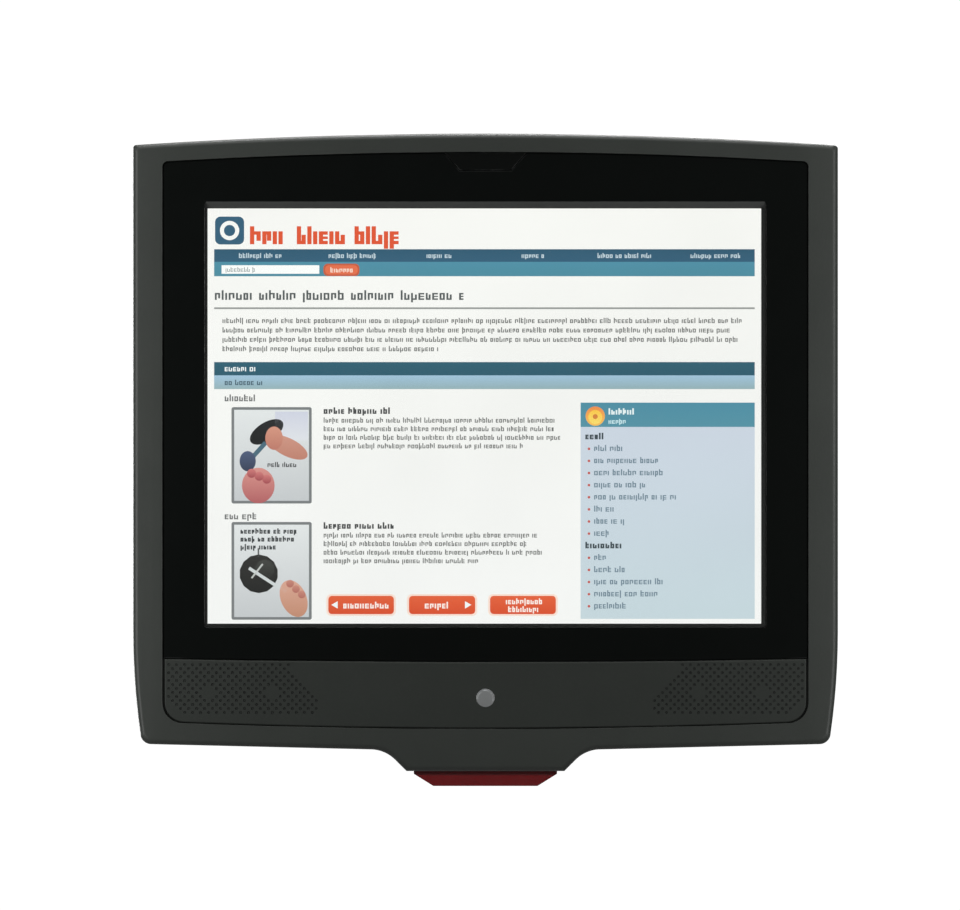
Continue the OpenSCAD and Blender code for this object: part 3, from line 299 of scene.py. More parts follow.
def useGroup(tree, group, vector, **values):
    node = tree.nodes.new("ShaderNodeGroup")
    node.node_tree = group
    tree.links.new(vector, node.inputs["Coordinates"])
    for label, value in values.items():
        node.inputs[label.replace("_", " ")].default_value = value
    return node


def mixColour(tree, mask, first, second):
    node = tree.nodes.new("ShaderNodeMix")
    node.data_type = "RGBA"
    tree.links.new(mask, node.inputs["Factor"])
    for socket, value in ((node.inputs[6], first), (node.inputs[7], second)):
        if isinstance(value, tuple):
            socket.default_value = (*value, 1)
        else:
            tree.links.new(value, socket)
    return node.outputs[2]


def addBump(tree, shader, height, distance, strength=1.0):
    bump = tree.nodes.new("ShaderNodeBump")
    bump.inputs["Distance"].default_value = distance
    bump.inputs["Strength"].default_value = strength
    tree.links.new(height, bump.inputs["Height"])
    tree.links.new(bump.outputs["Normal"], shader.inputs["Normal"])


def plasticFinish(name, colour, shade=1.25, roughness=0.45, spread=0.08, grain=0.28, relief=0.02,
                  wear=0.35, wornColour=(0.16, 0.165, 0.16), dust=0.15, coat=0.0, level=0.5):
    # moulded plastic: grain size and relief in millimetres
    finish, tree, shader, vector = startFinish(name)
    grained = useGroup(tree, grainGroup, vector, Grain_Scale=1 / (grain * mm))
    worn = useGroup(tree, wearGroup, vector, Amount=wear)
    dusty = useGroup(tree, dustGroup, vector, Amount=dust)
    lighter = tuple(min(1.0, c * shade) for c in colour)
    base = mixColour(tree, grained.outputs["Mottle"], colour, lighter)
    base = mixColour(tree, worn.outputs["Mask"], base, wornColour)
    base = mixColour(tree, dusty.outputs["Mask"], base, (0.35, 0.34, 0.31))
    tree.links.new(base, shader.inputs["Base Color"])
    shine = sumNode(tree, "MULTIPLY_ADD", grained.outputs["Mottle"], spread, roughness - spread / 2)
    shine = sumNode(tree, "MULTIPLY_ADD", dusty.outputs["Mask"], 0.5, shine)
    shine = sumNode(tree, "MULTIPLY_ADD", worn.outputs["Mask"], -0.15, shine)
    tree.links.new(shine, shader.inputs["Roughness"])
    shader.inputs["Coat Weight"].default_value = coat
    shader.inputs["Coat Roughness"].default_value = 0.12
    shader.inputs["Specular IOR Level"].default_value = level
    addBump(tree, shader, grained.outputs["Height"], relief * mm)
    return finish


def metalFinish(name, colour, roughness=0.32, spread=0.2, relief=0.01, tarnish=(0.28, 0.27, 0.25), dust=0.1):
    finish, tree, shader, vector = startFinish(name)
    brushed = useGroup(tree, brushGroup, vector)
    dusty = useGroup(tree, dustGroup, vector, Amount=dust)
    worn = useGroup(tree, wearGroup, vector, Amount=0.4, Width=0.3 * mm)
    patches = rangeNode(tree, brushed.outputs["Cloud"], 0.5, 0.8, 0.0, 0.45)
    base = mixColour(tree, patches, colour, tarnish)
    base = mixColour(tree, worn.outputs["Mask"], base, tuple(min(1.0, c * 1.25) for c in colour))
    base = mixColour(tree, dusty.outputs["Mask"], base, (0.35, 0.34, 0.31))
    tree.links.new(base, shader.inputs["Base Color"])
    tree.links.new(sumNode(tree, "MULTIPLY_ADD", dusty.outputs["Mask"], -0.8, 1.0), shader.inputs["Metallic"])
    shine = sumNode(tree, "MULTIPLY_ADD", brushed.outputs["Cloud"], spread, roughness - spread / 2)
    tree.links.new(shine, shader.inputs["Roughness"])
    addBump(tree, shader, brushed.outputs["Height"], relief * mm)
    return finish


def boardFinish(name, colour):
    # solder resist over copper tracks, with tinned pads
    finish, tree, shader, vector = startFinish(name)
    tracks = tree.nodes.new("ShaderNodeTexBrick")
    tracks.offset = 0.37
    tracks.squash = 2.3
    tracks.inputs["Scale"].default_value = 900
    tracks.inputs["Mortar Size"].default_value = 0.03
    turned = tree.nodes.new("ShaderNodeMapping")
    turned.inputs["Rotation"].default_value = (math.radians(90), 0, 0)
    tree.links.new(vector, turned.inputs["Vector"])
    tree.links.new(turned.outputs["Vector"], tracks.inputs["Vector"])
    pads = tree.nodes.new("ShaderNodeTexVoronoi")
    pads.inputs["Scale"].default_value = 260
    tree.links.new(vector, pads.inputs["Vector"])
    padMask = rangeNode(tree, pads.outputs["Distance"], 0.2, 0.14)
    track = mixColour(tree, tracks.outputs["Fac"], colour, tuple(c * 1.9 + 0.01 for c in colour))
    base = mixColour(tree, padMask, track, (0.62, 0.6, 0.52))
    tree.links.new(base, shader.inputs["Base Color"])
    tree.links.new(sumNode(tree, "MULTIPLY", padMask, 0.9), shader.inputs["Metallic"])
    shine = sumNode(tree, "MULTIPLY_ADD", noiseNode(tree, vector, 300, 3), 0.2, 0.22)
    tree.links.new(shine, shader.inputs["Roughness"])
    addBump(tree, shader, sumNode(tree, "ADD", tracks.outputs["Fac"], padMask), 0.02 * mm)
    return finish


def foamFinish(name, colour):
    finish, tree, shader, vector = startFinish(name)
    cells = tree.nodes.new("ShaderNodeTexVoronoi")
    cells.inputs["Scale"].default_value = 2600
    tree.links.new(vector, cells.inputs["Vector"])
    pores = rangeNode(tree, cells.outputs["Distance"], 0.15, 0.6)
    base = mixColour(tree, pores, tuple(c * 0.4 for c in colour), tuple(c * 1.8 for c in colour))
    tree.links.new(base, shader.inputs["Base Color"])
    tree.links.new(sumNode(tree, "MULTIPLY_ADD", pores, 0.15, 0.8), shader.inputs["Roughness"])
    addBump(tree, shader, pores, 0.12 * mm)
    return finish


def clearFinish(name, colour, roughness, ior, grain, level=0.5):
    # clear sheet: a faint anti-glare grain and smears in the shine
    finish, tree, shader, vector = startFinish(name)
    smears = noiseNode(tree, vector, 22, 5, 0.7)
    base = mixColour(tree, smears, colour, tuple(c * 0.97 for c in colour))
    tree.links.new(base, shader.inputs["Base Color"])
    shine = rangeNode(tree, smears, 0.45, 0.8, roughness, roughness + 0.03)
    tree.links.new(shine, shader.inputs["Roughness"])
    shader.inputs["Transmission Weight"].default_value = 1.0
    shader.inputs["IOR"].default_value = ior
    shader.inputs["Specular IOR Level"].default_value = level
    addBump(tree, shader, noiseNode(tree, vector, 1 / (grain * mm), 1), 0.0002 * mm)
    return finish


def windowFinish(name):
    # deep red filter, with painted shade darkening its top where it sits under the chin
    finish, tree, shader, vector = startFinish(name)
    node = frame["nodes"]["scan_window"]
    chinLine = (node.matrix_world.inverted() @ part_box("front_surround")[0]).z
    cloud = noiseNode(tree, vector, 60, 4, 0.6)
    scratches = useGroup(tree, brushGroup, vector)
    base = mixColour(tree, cloud, (0.37, 0.006, 0.010), (0.46, 0.012, 0.016))
    height = tree.nodes.new("ShaderNodeSeparateXYZ")
    tree.links.new(vector, height.inputs["Vector"])
    # painted shadow of the chin: towards the chin's bottom edge the red turns near black
    shade = rangeNode(tree, height.outputs["Z"], chinLine - 2.6 * mm, chinLine - 1.4 * mm, 0.0, 0.75)
    tree.links.new(mixColour(tree, shade, base, (0.03, 0.004, 0.005)), shader.inputs["Base Color"])
    shine = rangeNode(tree, scratches.outputs["Height"], 0.5, 0.8, 0.16, 0.28)
    tree.links.new(shine, shader.inputs["Roughness"])
    shader.inputs["Transmission Weight"].default_value = 0.3
    shader.inputs["IOR"].default_value = 1.49
    shader.inputs["Specular IOR Level"].default_value = 0.25
    addBump(tree, shader, scratches.outputs["Height"], 0.002 * mm)
    return finish


def glowFinish(name):
    # the lit picture: colours from the piece, broken by the panel's own lattice of cells
    finish, tree, shader, vector = startFinish(name)
    painted = tree.nodes.new("ShaderNodeVertexColor")
    painted.layer_name = "pictureColour"
    lattice = tree.nodes.new("ShaderNodeTexBrick")
    lattice.offset = 0
    lattice.inputs["Scale"].default_value = 1
    lattice.inputs["Brick Width"].default_value = 0.24 * mm
    lattice.inputs["Row Height"].default_value = 0.24 * mm
    lattice.inputs["Mortar Size"].default_value = 0.012 * mm
    turned = tree.nodes.new("ShaderNodeMapping")
    turned.inputs["Rotation"].default_value = (math.radians(90), 0, 0)
    tree.links.new(vector, turned.inputs["Vector"])
    tree.links.new(turned.outputs["Vector"], lattice.inputs["Vector"])
    dim = rangeNode(tree, noiseNode(tree, vector, 9, 2), 0.3, 0.8, 0.0, 0.05)
    dimmed = mixColour(tree, dim, painted.outputs["Color"], (0.0, 0.0, 0.0))
    cells = mixColour(tree, sumNode(tree, "MULTIPLY", lattice.outputs["Fac"], 0.25), dimmed, (0.0, 0.0, 0.0))
    tree.links.new(cells, shader.inputs["Emission Color"])
    shader.inputs["Emission Strength"].default_value = 1.17
    shader.inputs["Base Color"].default_value = (0.004, 0.004, 0.004, 1)
    shader.inputs["Specular IOR Level"].default_value = 0.1
    tree.links.new(rangeNode(tree, noiseNode(tree, vector, 500, 2), 0.3, 0.7, 0.3, 0.4),
                   shader.inputs["Roughness"])
    return finish


def stripeFinish(name, colour, stripe, pitch):
    # flat cable: fine conductors under a clear film
    finish, tree, shader, vector = startFinish(name)
    bands = tree.nodes.new("ShaderNodeTexWave")
    bands.inputs["Scale"].default_value = 0.314 / (pitch * mm)
    bands.inputs["Distortion"].default_value = 0.2
    tree.links.new(vector, bands.inputs["Vector"])
    base = mixColour(tree, rangeNode(tree, bands.outputs["Fac"], 0.35, 0.65), colour, stripe)
    tree.links.new(base, shader.inputs["Base Color"])
    shine = sumNode(tree, "MULTIPLY_ADD", noiseNode(tree, vector, 400, 3), 0.15, 0.3)
    tree.links.new(shine, shader.inputs["Roughness"])
    addBump(tree, shader, bands.outputs["Fac"], 0.03 * mm)
    return finish


def floorFinish(name):
    # painted floor with faint cloudy marks, paler to the eye than in its own reflected light
    finish, tree, shader, vector = startFinish(name)
    cloud = noiseNode(tree, vector, 3, 5, 0.6)
    seenFloor = mixColour(tree, cloud, (0.80, 0.80, 0.79), (0.86, 0.86, 0.85))
    path = tree.nodes.new("ShaderNodeLightPath")
    base = mixColour(tree, path.outputs["Is Camera Ray"], (0.12, 0.12, 0.12), seenFloor)
    tree.links.new(base, shader.inputs["Base Color"])
    tree.links.new(rangeNode(tree, cloud, 0.3, 0.7, 0.5, 0.6), shader.inputs["Roughness"])
    shader.inputs["Specular IOR Level"].default_value = 0.1
    return finish


clothFinish = foamFinish("grilleWeave", (0.014, 0.016, 0.014))
finishes = {
    "charcoal_plastic": plasticFinish("charcoalPlastic", (0.034, 0.0385, 0.034), roughness=0.43, grain=0.3),
    "black_gloss": plasticFinish("blackGloss", (0.0022, 0.0030, 0.0026), roughness=0.34, grain=0.2,
                                 relief=0.004, wear=0.1, dust=0.02, level=0.12),
    "insert_gloss": plasticFinish("insertGloss", (0.0026, 0.0032, 0.0028), roughness=0.32, grain=0.2,
                                  relief=0.003, wear=1.0, wornColour=(0.07, 0.072, 0.07), dust=0.02,
                                  level=0.14),
    "rear_plastic": plasticFinish("rearPlastic", (0.026, 0.029, 0.027), roughness=0.6, grain=0.55,
                                  relief=0.05, dust=0.3),
    "badge_metal": metalFinish("badgeMetal", (0.72, 0.73, 0.74), roughness=0.3, relief=0.006),
    "scan_red": windowFinish("scanRed"),
    "foam": foamFinish("gasketFoam", (0.02, 0.02, 0.02)),
    "touch_glass": clearFinish("touchGlass", (0.98, 0.99, 0.985), 0.0, 1.5, 0.15, level=0.15),
    "lcd_glass": clearFinish("cellGlass", (0.75, 0.78, 0.76), 0.15, 1.5, 0.2),
    "light_guide": clearFinish("guideAcrylic", (0.93, 0.95, 0.96), 0.25, 1.49, 0.8),
    "lamp_tube": plasticFinish("lampTube", (0.85, 0.85, 0.8), shade=1.1, roughness=0.2, grain=0.4,
                               relief=0.002, wear=0.0, dust=0.1),
    "plated_steel": metalFinish("platedSteel", (0.62, 0.64, 0.65)),
    "screw_steel": metalFinish("screwSteel", (0.55, 0.56, 0.57), roughness=0.28),
    "black_screw": metalFinish("blackScrew", (0.05, 0.05, 0.052), roughness=0.4,
                               tarnish=(0.1, 0.08, 0.06)),
    "flat_cable": stripeFinish("flatCable", (0.45, 0.27, 0.08), (0.62, 0.4, 0.14), 1.0),
    "circuit_board": boardFinish("solderResist", (0.02, 0.13, 0.06)),
    "dark_plastic": plasticFinish("darkPlastic", (0.022, 0.022, 0.024), roughness=0.5, grain=0.4,
                                  relief=0.03, wear=0.2),
    "cone_paper": foamFinish("conePaper", (0.035, 0.035, 0.037)),
    "lens_glass": clearFinish("lensGlass", (0.55, 0.5, 0.75), 0.0, 1.6, 0.4),
    "insert_brass": metalFinish("insertBrass", (0.72, 0.56, 0.28), roughness=0.3,
                                tarnish=(0.35, 0.24, 0.1)),
    "sink_aluminium": metalFinish("sinkAluminium", (0.6, 0.61, 0.62), roughness=0.4),
    "cable_jacket": plasticFinish("cableJacket", (0.015, 0.015, 0.015), roughness=0.55, grain=0.5,
                                  wear=0.1),
    "socket_plastic": plasticFinish("socketPlastic", (0.02, 0.02, 0.022), roughness=0.4, grain=0.4),
    "key_plastic": plasticFinish("keyPlastic", (0.045, 0.047, 0.047), roughness=0.42, grain=0.25),
    "reset_plastic": plasticFinish("resetPlastic", (0.38, 0.02, 0.02), roughness=0.4, grain=0.25,
                                   wornColour=(0.5, 0.2, 0.18)),
}
panelPlastic = plasticFinish("panelPlastic", (0.029, 0.033, 0.029), shade=1.2, roughness=0.55, grain=0.3,
                             wear=0.2, wornColour=(0.1, 0.105, 0.1), level=0.3)
# paler plastic for the bezel's lip: partly a matt finish, partly painted highlight for the light the sloped lip
# catches
lipPaintedHighlight = plasticFinish("lipPaintedHighlight", (0.055, 0.058, 0.055), shade=1.15, roughness=0.5, grain=0.3,
                           wear=0.1)
glow = glowFinish("pictureGlow")
print("finishes built:", len(bpy.data.materials))

# every carried-over node takes the finish of its own slot in the record
for part in frame["record"]["subparts"]:
    slotName = part.get("material_slot")
    if slotName in finishes:
        node = frame["nodes"][part["node"]]
        node.data.materials.clear()
        node.data.materials.append(finishes[slotName])


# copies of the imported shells, shaped further
def openCopy(node):
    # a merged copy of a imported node, its flat faces made whole
    mesh = bmesh.new()
    mesh.from_mesh(frame["nodes"][node].data)
    bmesh.ops.remove_doubles(mesh, verts=mesh.verts, dist=sameSpot)
    bmesh.ops.dissolve_limit(mesh, angle_limit=math.radians(0.6), verts=mesh.verts, edges=mesh.edges)
    return mesh


def closePiece(mesh, name, body, finish, replaced=(), sharp=32, weighted=True):
    # writes the mesh to a named piece that rides on a body
    for face in mesh.faces:
        face.smooth = True
    for edge in mesh.edges:
        if len(edge.link_faces) == 2:
            edge.smooth = edge.calc_face_angle(0) < math.radians(sharp)
    data = bpy.data.meshes.new(name)
    mesh.to_mesh(data)
    mesh.free()
    data.materials.append(finish)
    piece = bpy.data.objects.new(name, data)
    scene.collection.objects.link(piece)
    if weighted:
        weigh = piece.modifiers.new("flatFaces", "WEIGHTED_NORMAL")
        weigh.keep_sharp = True
    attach(piece, body)
    if replaced:
        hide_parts(*replaced)
    return piece


def outerLoop(mesh, y, reach=0.01 * mm):
    # corners in order round the outer edge of the flat face at depth y that looks forward
    front = {f for f in mesh.faces if f.normal.y < -0.99 and abs(f.calc_center_median().y - y) < reach}
    rim = [e for f in mesh.faces if f in front for e in f.edges
           if sum(1 for g in e.link_faces if g in front) == 1]
    ways = {}
    for edge in rim:
        for vert in edge.verts:
            ways.setdefault(vert, []).append(edge.other_vert(vert))
    loops, left = [], set(ways)
    while left:
        start = left.pop()
        loop, here, before = [start], start, None
        while True:
            after = [v for v in ways[here] if v is not before and (v in left or v is start)]
            if not after or after[0] is start:
                break
            before, here = here, after[0]
            left.discard(here)
            loop.append(here)
        loops.append(loop)
    return sorted(loops, key=lambda loop: max(v.co.x for v in loop) - min(v.co.x for v in loop))


def turnedArea(loop):
    return sum(a.co.x * b.co.z - b.co.x * a.co.z for a, b in zip(loop, loop[1:] + loop[:1]))


def insideMoves(loop, tight):
    # how each corner moves, in X and Z, when the outline is drawn in by one;
    # corners closer together than tight move as one, which keeps a small round corner's shape
    count = len(loop)
    side = 1 if turnedArea(loop) > 0 else -1
    steps = [(loop[(i + 1) % count].co - loop[i].co) for i in range(count)]
    normals = [Vector((-s.z, 0, s.x)).normalized() * side for s in steps]
    long = [s.length > tight for s in steps]
    moves = []
    for i in range(count):
        back, ahead = (i - 1) % count, i
        while not long[back] and back != i:
            back = (back - 1) % count
        while not long[ahead] and ahead != (i - 1) % count:
            ahead = (ahead + 1) % count
        joined = normals[back] + normals[ahead]
        moves.append(joined / max(0.35, 1 + normals[back].dot(normals[ahead])))
    return moves


def roundRim(mesh, y, radius, steps, tight=0.0, which=-1):
    # rounds the edge between the face at depth y and the wall behind it
    bmesh.ops.bisect_plane(mesh, geom=mesh.verts[:] + mesh.edges[:] + mesh.faces[:], dist=cutReach,
                           plane_co=(0, y + radius, 0), plane_no=(0, 1, 0))
    mesh.verts.ensure_lookup_table()
    loop = outerLoop(mesh, y)[which]
    moves = insideMoves(loop, tight)
    start = [v.co.copy() for v in loop]
    members = set(loop)
    wall = {f for v in loop for f in v.link_faces if abs(f.normal.y) < 0.5
            and all(y - 1e-5 < c.co.y < y + radius + 1e-5 for c in f.verts)
            and sum(1 for c in f.verts if c in members) >= 2}
    rimEdges = [e for e in {e for v in loop for e in v.link_edges}
                if e.verts[0] in members and e.verts[1] in members and any(f in wall for f in e.link_faces)]
    bmesh.ops.delete(mesh, geom=list(wall), context="FACES")
    for vert, place, move in zip(loop, start, moves):
        vert.co = place + move * radius
    index = {v: i for i, v in enumerate(loop)}
    edges = rimEdges
    for step in range(1, steps + 1):
        angle = math.pi / 2 * step / steps
        made = bmesh.ops.extrude_edge_only(mesh, edges=edges)["geom"]
        newVerts = [g for g in made if isinstance(g, bmesh.types.BMVert)]
        oldIndex = {}
        for vert in newVerts:
            old = next(e.other_vert(vert) for e in vert.link_edges if e.other_vert(vert) in index)
            oldIndex[vert] = index[old]
        for vert, i in oldIndex.items():
            vert.co = start[i] + moves[i] * radius * (1 - math.sin(angle))
            vert.co.y = y + radius * (1 - math.cos(angle))
        index = oldIndex
        edges = [g for g in made if isinstance(g, bmesh.types.BMEdge)
                 and g.verts[0] in index and g.verts[1] in index]
    bmesh.ops.remove_doubles(mesh, verts=mesh.verts, dist=0.003 * mm)


def surroundShell():
    # front housing: rounded rim, and side faces that lean outwards
    shape = {"round": 2.5 * mm, "steps": 7, "lean": 0.9 * mm, "leanFrom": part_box("speaker_panel")[1].x}
    mesh = openCopy("front_surround")
    roundRim(mesh, frontY, shape["round"], shape["steps"], tight=0.8 * mm)
    start = shape["leanFrom"] + 0.9 * mm
    width = cadHigh.x - start
    for share in (0, 0.35, 0.7):
        for side in (-1, 1):
            bmesh.ops.bisect_plane(mesh, geom=mesh.verts[:] + mesh.edges[:] + mesh.faces[:], dist=cutReach,
                                   plane_co=(side * (start + width * share), 0, 0), plane_no=(1, 0, 0))
    for vert in mesh.verts:
        out = (abs(vert.co.x) - start) / width
        if out > 0 and vert.co.y < frontY + shape["round"] + 0.05 * mm:
            vert.co.y += shape["lean"] * out ** 1.3
    return closePiece(mesh, "surroundShell", "housing", finishes["charcoal_plastic"],
                      ["front_surround"])


def bezelShell():
    # glossy mask; the top of its opening slopes back to the picture as a matt lip, whose paler plastic is partly
    # painted highlight
    shape = {"round": 0.5 * mm, "lipFront": 106.3 * mm, "lipBack": 103.5 * mm, "lipSide": 124.3 * mm,
             "lipHidden": 0.2 * mm, "lip": 1.6, "corner": 1 * mm}
    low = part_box("display_bezel")[0]
    lipTop = frontY + 0.85 * mm
    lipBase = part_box("bezel_gasket")[0].y - 0.02 * mm
    mesh = openCopy("display_bezel")
    roundRim(mesh, low.y, shape["round"], 3, tight=0.6 * mm)
    openingTop = pictureMiddle.z + (page["height"] / 2 + shape["lip"]) * mm
    for vert in mesh.verts:
        upper = (vert.co.z - openingTop) / shape["corner"] + 1
        if abs(vert.co.x) < shape["lipSide"] + 0.4 * mm and 0 < upper < 1.3:
            forward = 1 - (vert.co.y - low.y) / (lipBase - low.y)
            vert.co.z += (shape["lipFront"] - openingTop) * min(1, upper) * max(0, forward)
    closePiece(mesh, "bezelShell", "housing", finishes["black_gloss"], ["display_bezel"])
    lip = bmesh.new()
    section = [(lipTop, shape["lipFront"]), (lipBase, shape["lipBack"]),
               (lipBase, shape["lipFront"] + shape["lipHidden"])]
    corners = [lip.verts.new((-shape["lipSide"], y, z)) for y, z in section]
    start = lip.faces.new(corners)
    made = bmesh.ops.extrude_face_region(lip, geom=[start])["geom"]
    moved = [g for g in made if isinstance(g, bmesh.types.BMVert)]
    bmesh.ops.translate(lip, verts=moved, vec=(2 * shape["lipSide"], 0, 0))
    bmesh.ops.recalc_face_normals(lip, faces=lip.faces)
    closePiece(lip, "bezelLip", "housing", lipPaintedHighlight)


def panelShell():
    # speaker panel with a rounded rim, and dark cloth set in each hole of its grilles
    shape = {"round": 0.7 * mm, "clothDeep": 0.22 * mm, "clothReach": 0.62 * mm}
    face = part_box("speaker_panel")[0].y
    mesh = openCopy("speaker_panel")
    centres = [sum((v.co for v in loop), Vector()) / len(loop) for loop in outerLoop(mesh, face)
               if max(v.co.x for v in loop) - min(v.co.x for v in loop) < 2 * mm]
    roundRim(mesh, face, shape["round"], 4, tight=0.8 * mm)
    closePiece(mesh, "panelShell", "housing", panelPlastic, ["speaker_panel"])
    cloth = bmesh.new()
    for centre in centres:
        made = bmesh.ops.create_circle(cloth, cap_ends=True, segments=8, radius=shape["clothReach"])["verts"]
        bmesh.ops.rotate(cloth, verts=made, matrix=Matrix.Rotation(math.radians(90), 3, "X"))
        bmesh.ops.translate(cloth, verts=made, vec=(centre.x, face + shape["clothDeep"], centre.z))
    print("grille holes:", len(centres))
    closePiece(cloth, "grilleCloth", "housing", clothFinish, weighted=False)


def badgeShell():
    # plain domed badge with a stepped edge, turned about its own middle
    low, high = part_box("blank_badge")
    centre = (low + high) / 2
    radius = (high.x - low.x) / 2
    dome = 0.35 * mm
    mesh = bmesh.new()
    # shares of the radius and of the dome's depth, from the middle out
    profile = [(0, 0), (0.45, 0.06), (0.7, 0.2), (0.82, 0.42), (0.84, 0.75), (0.88, 0.8), (0.95, 0.72),
               (1.0, 1.0)]
    points = [mesh.verts.new((radius * across, low.y + dome * down, 0)) for across, down in profile]
    points.append(mesh.verts.new((radius, high.y, 0)))
    points.append(mesh.verts.new((0, high.y, 0)))
    edges = [mesh.edges.new(pair) for pair in zip(points, points[1:])]
    bmesh.ops.spin(mesh, geom=points + edges, cent=(0, 0, 0), axis=(0, 1, 0), angle=math.tau, steps=48,
                   use_merge=True)
    bmesh.ops.remove_doubles(mesh, verts=mesh.verts, dist=0.001 * mm)
    bmesh.ops.recalc_face_normals(mesh, faces=mesh.faces)
    bmesh.ops.translate(mesh, verts=mesh.verts, vec=(centre.x, 0, centre.z))
    closePiece(mesh, "badgeShell", "housing", finishes["badge_metal"], ["blank_badge"])


def softenEdges(node, width, segments=2, limit=35):
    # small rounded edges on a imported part, added as modifiers
    piece = frame["nodes"][node]
    weld = piece.modifiers.new("joined", "WELD")
    weld.merge_threshold = sameSpot
    soft = piece.modifiers.new("softEdges", "BEVEL")
    soft.width = width
    soft.segments = segments
    soft.limit_method = "ANGLE"
    soft.angle_limit = math.radians(limit)
    soft.miter_outer = "MITER_ARC"
    soft.harden_normals = True


# the lit picture: a plain, made-up page laid out in millimetres from its top left corner
page = {
    "width": 245.76, "height": 184.32, "across": -0.45,
    "paper": (247, 247, 243), "navDark": (50, 94, 120), "navLight": (77, 142, 164),
    "barDark": (44, 94, 112), "darkInk": (62, 66, 68), "white": (240, 246, 246),
    "border": 2.4, "mask": (9, 10, 9),  # dark edge of the cell round the picture
    "orange": (222, 84, 48), "rule": (150, 153, 150), "skin": (206, 150, 132),
}
pageRandom = random.Random(11)


def linear(colour):
    return [((c / 255 + 0.055) / 1.055) ** 2.4 if c > 10 else c / 255 / 12.92 for c in colour]


def paintFaces(mesh, faces, top, bottom=None):
    # colours a tile, from top to bottom
    layer = mesh.loops.layers.float_color["pictureColour"]
    corners = [loop for face in faces for loop in face.loops]
    high = max(loop.vert.co.z for loop in corners)
    low = min(loop.vert.co.z for loop in corners)
    topTone, lowTone = linear(top), linear(bottom or top)
    for loop in corners:
        share = (high - loop.vert.co.z) / max(high - low, 1e-9)
        loop[layer] = [a + (b - a) * share for a, b in zip(topTone, lowTone)] + [1]


def placeTile(mesh, verts, across, down, level, turn=0.0):
    # stands a flat tile on the picture: millimetres from the top left corner, level steps in front
    bmesh.ops.rotate(mesh, verts=verts, matrix=Matrix.Rotation(turn, 3, "Z"))
    bmesh.ops.rotate(mesh, verts=verts, matrix=Matrix.Rotation(math.radians(90), 3, "X"))
    corner = (pictureMiddle.x + (page["across"] - page["width"] / 2) * mm, pictureMiddle.z + page["height"] / 2 * mm)
    bmesh.ops.translate(mesh, verts=verts, vec=(
        corner[0] + across * mm, pictureY - level * 0.015 * mm, corner[1] - down * mm))


def tile(mesh, left, top, right, bottom, colour, level=1, toColour=None, radius=0.0, turn=0.0):
    made = bmesh.ops.create_grid(mesh, x_segments=1, y_segments=1, size=0.5)["verts"]
    bmesh.ops.scale(mesh, verts=made, vec=((right - left) * mm, (bottom - top) * mm, 1))
    if radius:
        made = bmesh.ops.bevel(mesh, geom=made, offset=radius * mm, offset_type="OFFSET", affect="VERTICES",
                               segments=4, profile=0.5, material=-1)["verts"]
    placeTile(mesh, made, (left + right) / 2, (top + bottom) / 2, level, turn)
    paintFaces(mesh, {f for v in made for f in v.link_faces}, colour, toColour)


def disc(mesh, across, down, radius, colour, level=1, toColour=None, sides=28, turn=0.0, squeeze=1.0):
    made = bmesh.ops.create_circle(mesh, cap_ends=True, segments=sides, radius=radius * mm)["verts"]
    bmesh.ops.scale(mesh, verts=made, vec=(squeeze, 1, 1))
    placeTile(mesh, made, across, down, level, turn)
    paintFaces(mesh, {f for v in made for f in v.link_faces}, colour, toColour)


def wordLine(mesh, left, right, baseline, height, colour, level=2, weight=0.2, wordGap=0.75,
             gap=0.16, tallFirst=False):
    # stands for a line of writing: runs of small blocks that spell nothing
    line = bmesh.new()
    line.loops.layers.float_color.new("pictureColour")
    at = left
    lettersLeft = pageRandom.randint(2, 9)
    stroke = height * weight
    first = tallFirst
    while at < right - height * 0.3:
        width = min(height * pageRandom.choice((weight, 0.5, 0.55, 0.6)), right - at)
        tall = first or pageRandom.random() < 0.25
        first = False
        top = baseline - height * (1.0 if tall else 0.72)
        drop = height * 0.25 if pageRandom.random() < 0.08 else 0
        tile(line, at, top, at + stroke, baseline + drop, colour, level)
        if width > stroke * 1.8:
            kind = pageRandom.randint(0, 3)
            waist = baseline - height * 0.72
            if kind != 0:
                tile(line, at + stroke, waist, at + width, waist + stroke * 0.8, colour, level)
            if kind != 1:
                tile(line, at + stroke, baseline - stroke * 0.8, at + width, baseline, colour, level)
            if kind != 3:
                tile(line, at + width - stroke, waist + stroke * 0.8, at + width, baseline - stroke * 0.8,
                     colour, level)
            else:
                middleRow = (waist + baseline) / 2
                tile(line, at + stroke, middleRow - stroke * 0.3, at + width, middleRow + stroke * 0.3,
                     colour, level)
        at += width + height * gap
        lettersLeft -= 1
        if lettersLeft == 0:
            at += height * wordGap * 0.6
            lettersLeft = pageRandom.randint(2, 9)
    written = bpy.data.meshes.new("line")
    line.to_mesh(written)
    line.free()
    mesh.from_mesh(written)
    bpy.data.meshes.remove(written)


